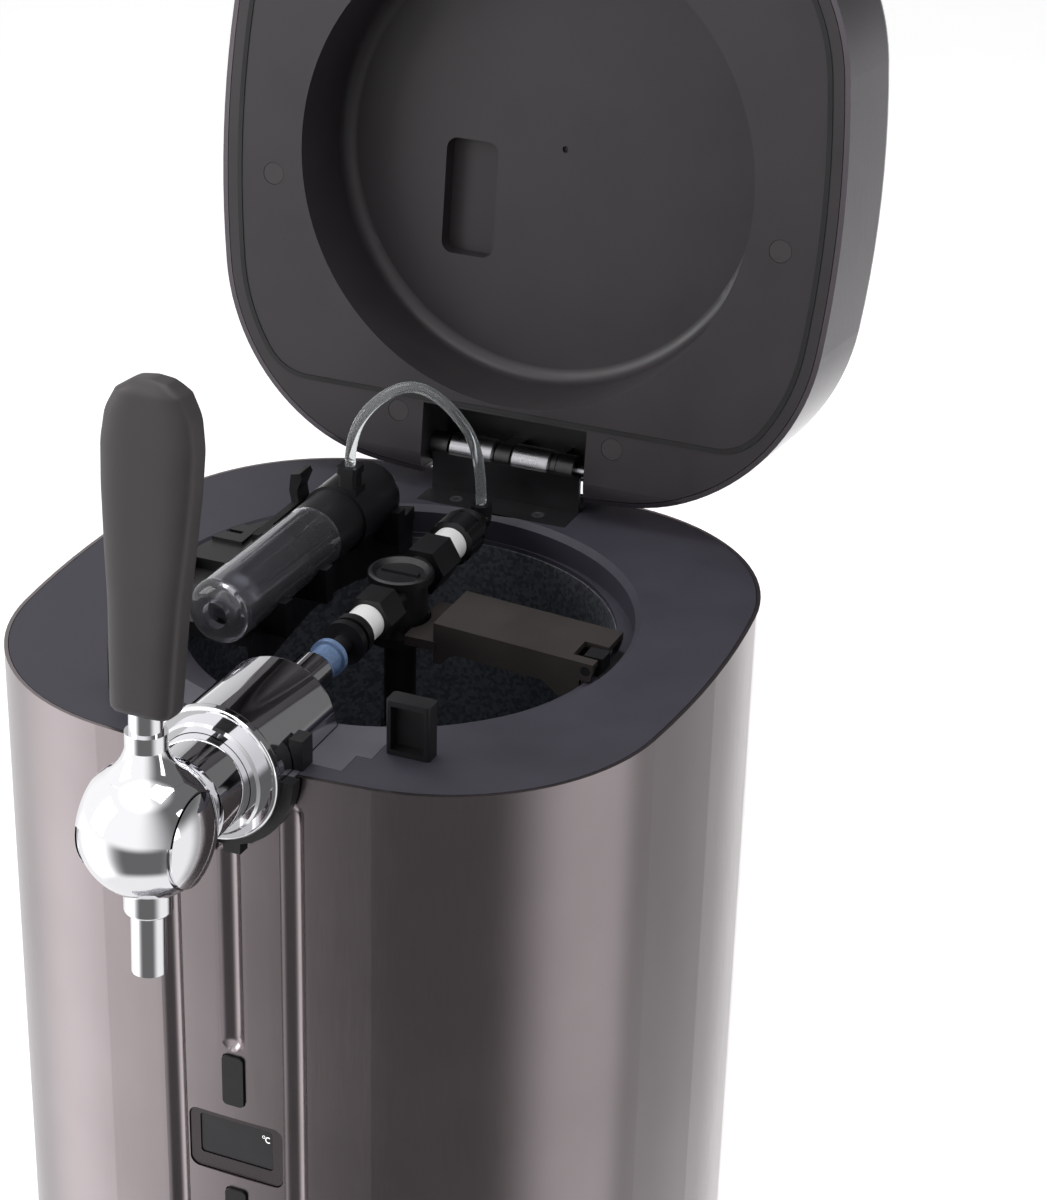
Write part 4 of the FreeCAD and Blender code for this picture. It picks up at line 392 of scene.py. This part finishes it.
class DISPENSER_OT_handle(bpy.types.Operator):
    """Paddle handle: x = w(v) sgn(cos u) |cos u|^(2/p), y = t(v) sgn(sin u) |sin u|^(2/p) at height z(v),
    leaning back with the tap, where w is the half width, t the half thickness and p is the power."""
    bl_idname = "dispenser.handle"
    bl_label = "Handle"

    def execute(self, context):
        sizes = context.scene.dispenser_sizes
        low, high = sizes.handle_low, sizes.handle_high
        heights, halves = np.array(HANDLE_HEIGHTS) * MM, np.array(HANDLE_HALVES) * MM
        share = np.linspace(0, 1, 90)
        z = low + (high - low) * np.sin(share * math.pi / 2) ** 1.15
        # The straight outline is evened out by a running mean, but not at the crown
        dense = np.linspace(heights[0], heights[-1], 600)
        width = np.interp(dense, heights, halves)
        smooth = np.convolve(np.pad(width, 12, mode="edge"), np.ones(25) / 25, mode="valid")
        half = np.interp(z, dense, np.where(dense > 0.157, width, smooth))
        crown = np.clip((high - z) / 0.006, 0, 1)
        thick = sizes.handle_thick / 2 * np.sqrt(1 - (1 - crown) ** 2 * 0.75)
        foot = np.clip((z - low) / 0.002, 0, 1)
        trim = 1 - 0.10 * (1 - foot) ** 2
        u = np.linspace(0, 2 * math.pi, 96, endpoint=False)
        across = np.sign(np.cos(u)) * np.abs(np.cos(u)) ** (2 / HANDLE_POWER)
        along = np.sign(np.sin(u)) * np.abs(np.sin(u)) ** (2 / HANDLE_POWER)
        x = (half * trim)[:, None] * across[None, :]
        y = (thick * trim)[:, None] * along[None, :]
        points = np.stack([x, y, np.broadcast_to(z[:, None], x.shape)], axis=-1)
        points = turned(points, -HANDLE_LEAN, HANDLE_ROOT)
        points = turned(points, -TAP_TILT, (0, 0, 0)) + np.array(TAP_CENTRE)
        handle = grid_object("paddle_handle", points, True, bpy.data.materials["handle_soft_touch"], "handle")
        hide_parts("tap_handle")
        return {"FINISHED"}


class DISPENSER_OT_mark(bpy.types.Operator):
    """Lit degree and C mark in the display: a flat ring of radii r and R, and most of a larger one."""
    bl_idname = "dispenser.mark"
    bl_label = "Display mark"

    def execute(self, context):
        material = bpy.data.materials["lit_mark"]
        for name, x, drop, radius, start, end in MARKS:
            u = np.radians(np.linspace(start, end, 40))
            rows = [np.stack([x + radius * size * np.cos(u), np.full_like(u, MARK_Y),
                              DECK / MM - drop + radius * size * 1.15 * np.sin(u)], axis=-1)
                    for size in (1.0, 0.68)]
            piece = grid_object(name, np.array(rows) * MM, False, material, "machine")
            solid = piece.modifiers.new("thickness", "SOLIDIFY")
            solid.thickness = 0.05 * MM
            solid.offset = 0
        return {"FINISHED"}


class DISPENSER_OT_stage(bpy.types.Operator):
    """Pale floor, white surroundings and soft studio lights."""
    bl_idname = "dispenser.stage"
    bl_label = "Stage"

    def execute(self, context):
        light = context.scene.dispenser_light
        bpy.ops.mesh.primitive_plane_add(size=14, location=(0, 0, 0))
        floor = context.object
        floor.name = "floor"
        # Matt painted board, seen by the camera and through glass as nearly white with the object's shadow
        material = finish("pale_floor", {"cloud": (300.0, 2.0)}, "#f4f4f4", "#f8f8f8", 0, 0)
        tree = material.node_tree
        shader = tree.nodes["Principled BSDF"]
        shader.inputs["Roughness"].default_value = 0.8
        shader.inputs["Emission Color"].default_value = (1, 1, 1, 1)
        rays = add(tree, "ShaderNodeLightPath")
        direct = add(tree, "ShaderNodeMath", {0: rays.outputs["Is Camera Ray"],
                                              1: rays.outputs["Is Transmission Ray"]}, operation="MAXIMUM")
        glow = add(tree, "ShaderNodeMath", {0: direct.outputs[0], 1: light.floor_glow}, operation="MULTIPLY")
        tree.links.new(glow.outputs[0], shader.inputs["Emission Strength"])
        open_air = add(tree, "ShaderNodeBsdfTransparent")
        whole = add(tree, "ShaderNodeMixShader", {0: rays.outputs["Is Glossy Ray"], 1: shader.outputs[0],
                                                  2: open_air.outputs[0]})
        tree.links.new(whole.outputs[0], tree.nodes["Material Output"].inputs["Surface"])
        floor.data.materials.append(material)
        for name, power, size, place, turn in (
                ("left_softbox", light.key_power, (1.2, 1.6), (-1.7, -1.3, 1.25), (66, 0, -52)),
                ("top_softbox", light.top_power, (1.6, 1.2), (0.1, 0.2, 2.1), (0, 0, 0)),
                ("right_softbox", light.side_power, (0.5, 1.8), (1.9, 0.1, 0.9), (84, 0, 92))):
            data = bpy.data.lights.new(name, "AREA")
            data.shape = "RECTANGLE"
            data.size, data.size_y = size
            data.energy = power
            lamp = bpy.data.objects.new(name, data)
            lamp.location = place
            lamp.rotation_euler = [math.radians(angle) for angle in turn]
            context.scene.collection.objects.link(lamp)
        world = context.scene.world or bpy.data.worlds.new("room")
        context.scene.world = world
        world.use_nodes = True
        tree = world.node_tree
        tree.nodes.clear()
        rays = add(tree, "ShaderNodeLightPath")
        room = add(tree, "ShaderNodeBackground", {"Color": (1, 1, 1, 1), "Strength": light.room})
        white = add(tree, "ShaderNodeBackground", {"Color": (1, 1, 1, 1), "Strength": 1.0})
        cards = add(tree, "ShaderNodeBackground", {"Color": studio_cards(tree), "Strength": 1.0})
        dim = add(tree, "ShaderNodeMixShader", {0: rays.outputs["Is Glossy Ray"], 1: room.outputs[0],
                                                2: cards.outputs[0]})
        direct = add(tree, "ShaderNodeMath", {0: rays.outputs["Is Camera Ray"],
                                              1: rays.outputs["Is Transmission Ray"]}, operation="MAXIMUM")
        mix = add(tree, "ShaderNodeMixShader", {0: direct.outputs[0], 1: dim.outputs[0], 2: white.outputs[0]})
        add(tree, "ShaderNodeOutputWorld", {"Surface": mix.outputs[0]})
        context.scene.view_settings.view_transform = "Standard"
        return {"FINISHED"}


class DISPENSER_PT_panel(bpy.types.Panel):
    """Sizes and light of the dispenser."""
    bl_label = "Dispenser"
    bl_idname = "DISPENSER_PT_panel"
    bl_space_type = "VIEW_3D"
    bl_region_type = "UI"
    bl_category = "Dispenser"

    def draw(self, context):
        for group in (context.scene.dispenser_sizes, context.scene.dispenser_light):
            for name in group.__annotations__:
                self.layout.prop(group, name)
        for step in STEPS:
            self.layout.operator(step.bl_idname)


STEPS = (DISPENSER_OT_camera, DISPENSER_OT_finishes, DISPENSER_OT_tube, DISPENSER_OT_handle, DISPENSER_OT_mark,
         DISPENSER_OT_stage)
CLASSES = (DispenserSizes, DispenserLight, *STEPS, DISPENSER_PT_panel)


def register():
    for item in CLASSES:
        bpy.utils.register_class(item)
    bpy.types.Scene.dispenser_sizes = bpy.props.PointerProperty(type=DispenserSizes)
    bpy.types.Scene.dispenser_light = bpy.props.PointerProperty(type=DispenserLight)


def unregister():
    del bpy.types.Scene.dispenser_light
    del bpy.types.Scene.dispenser_sizes
    for item in reversed(CLASSES):
        bpy.utils.unregister_class(item)


def main():
    register()
    bpy.ops.dispenser.camera()
    bpy.ops.dispenser.finishes()
    bpy.ops.dispenser.tube()
    bpy.ops.dispenser.handle()
    bpy.ops.dispenser.mark()
    bpy.ops.dispenser.stage()


if __name__ == "__main__":
    main()
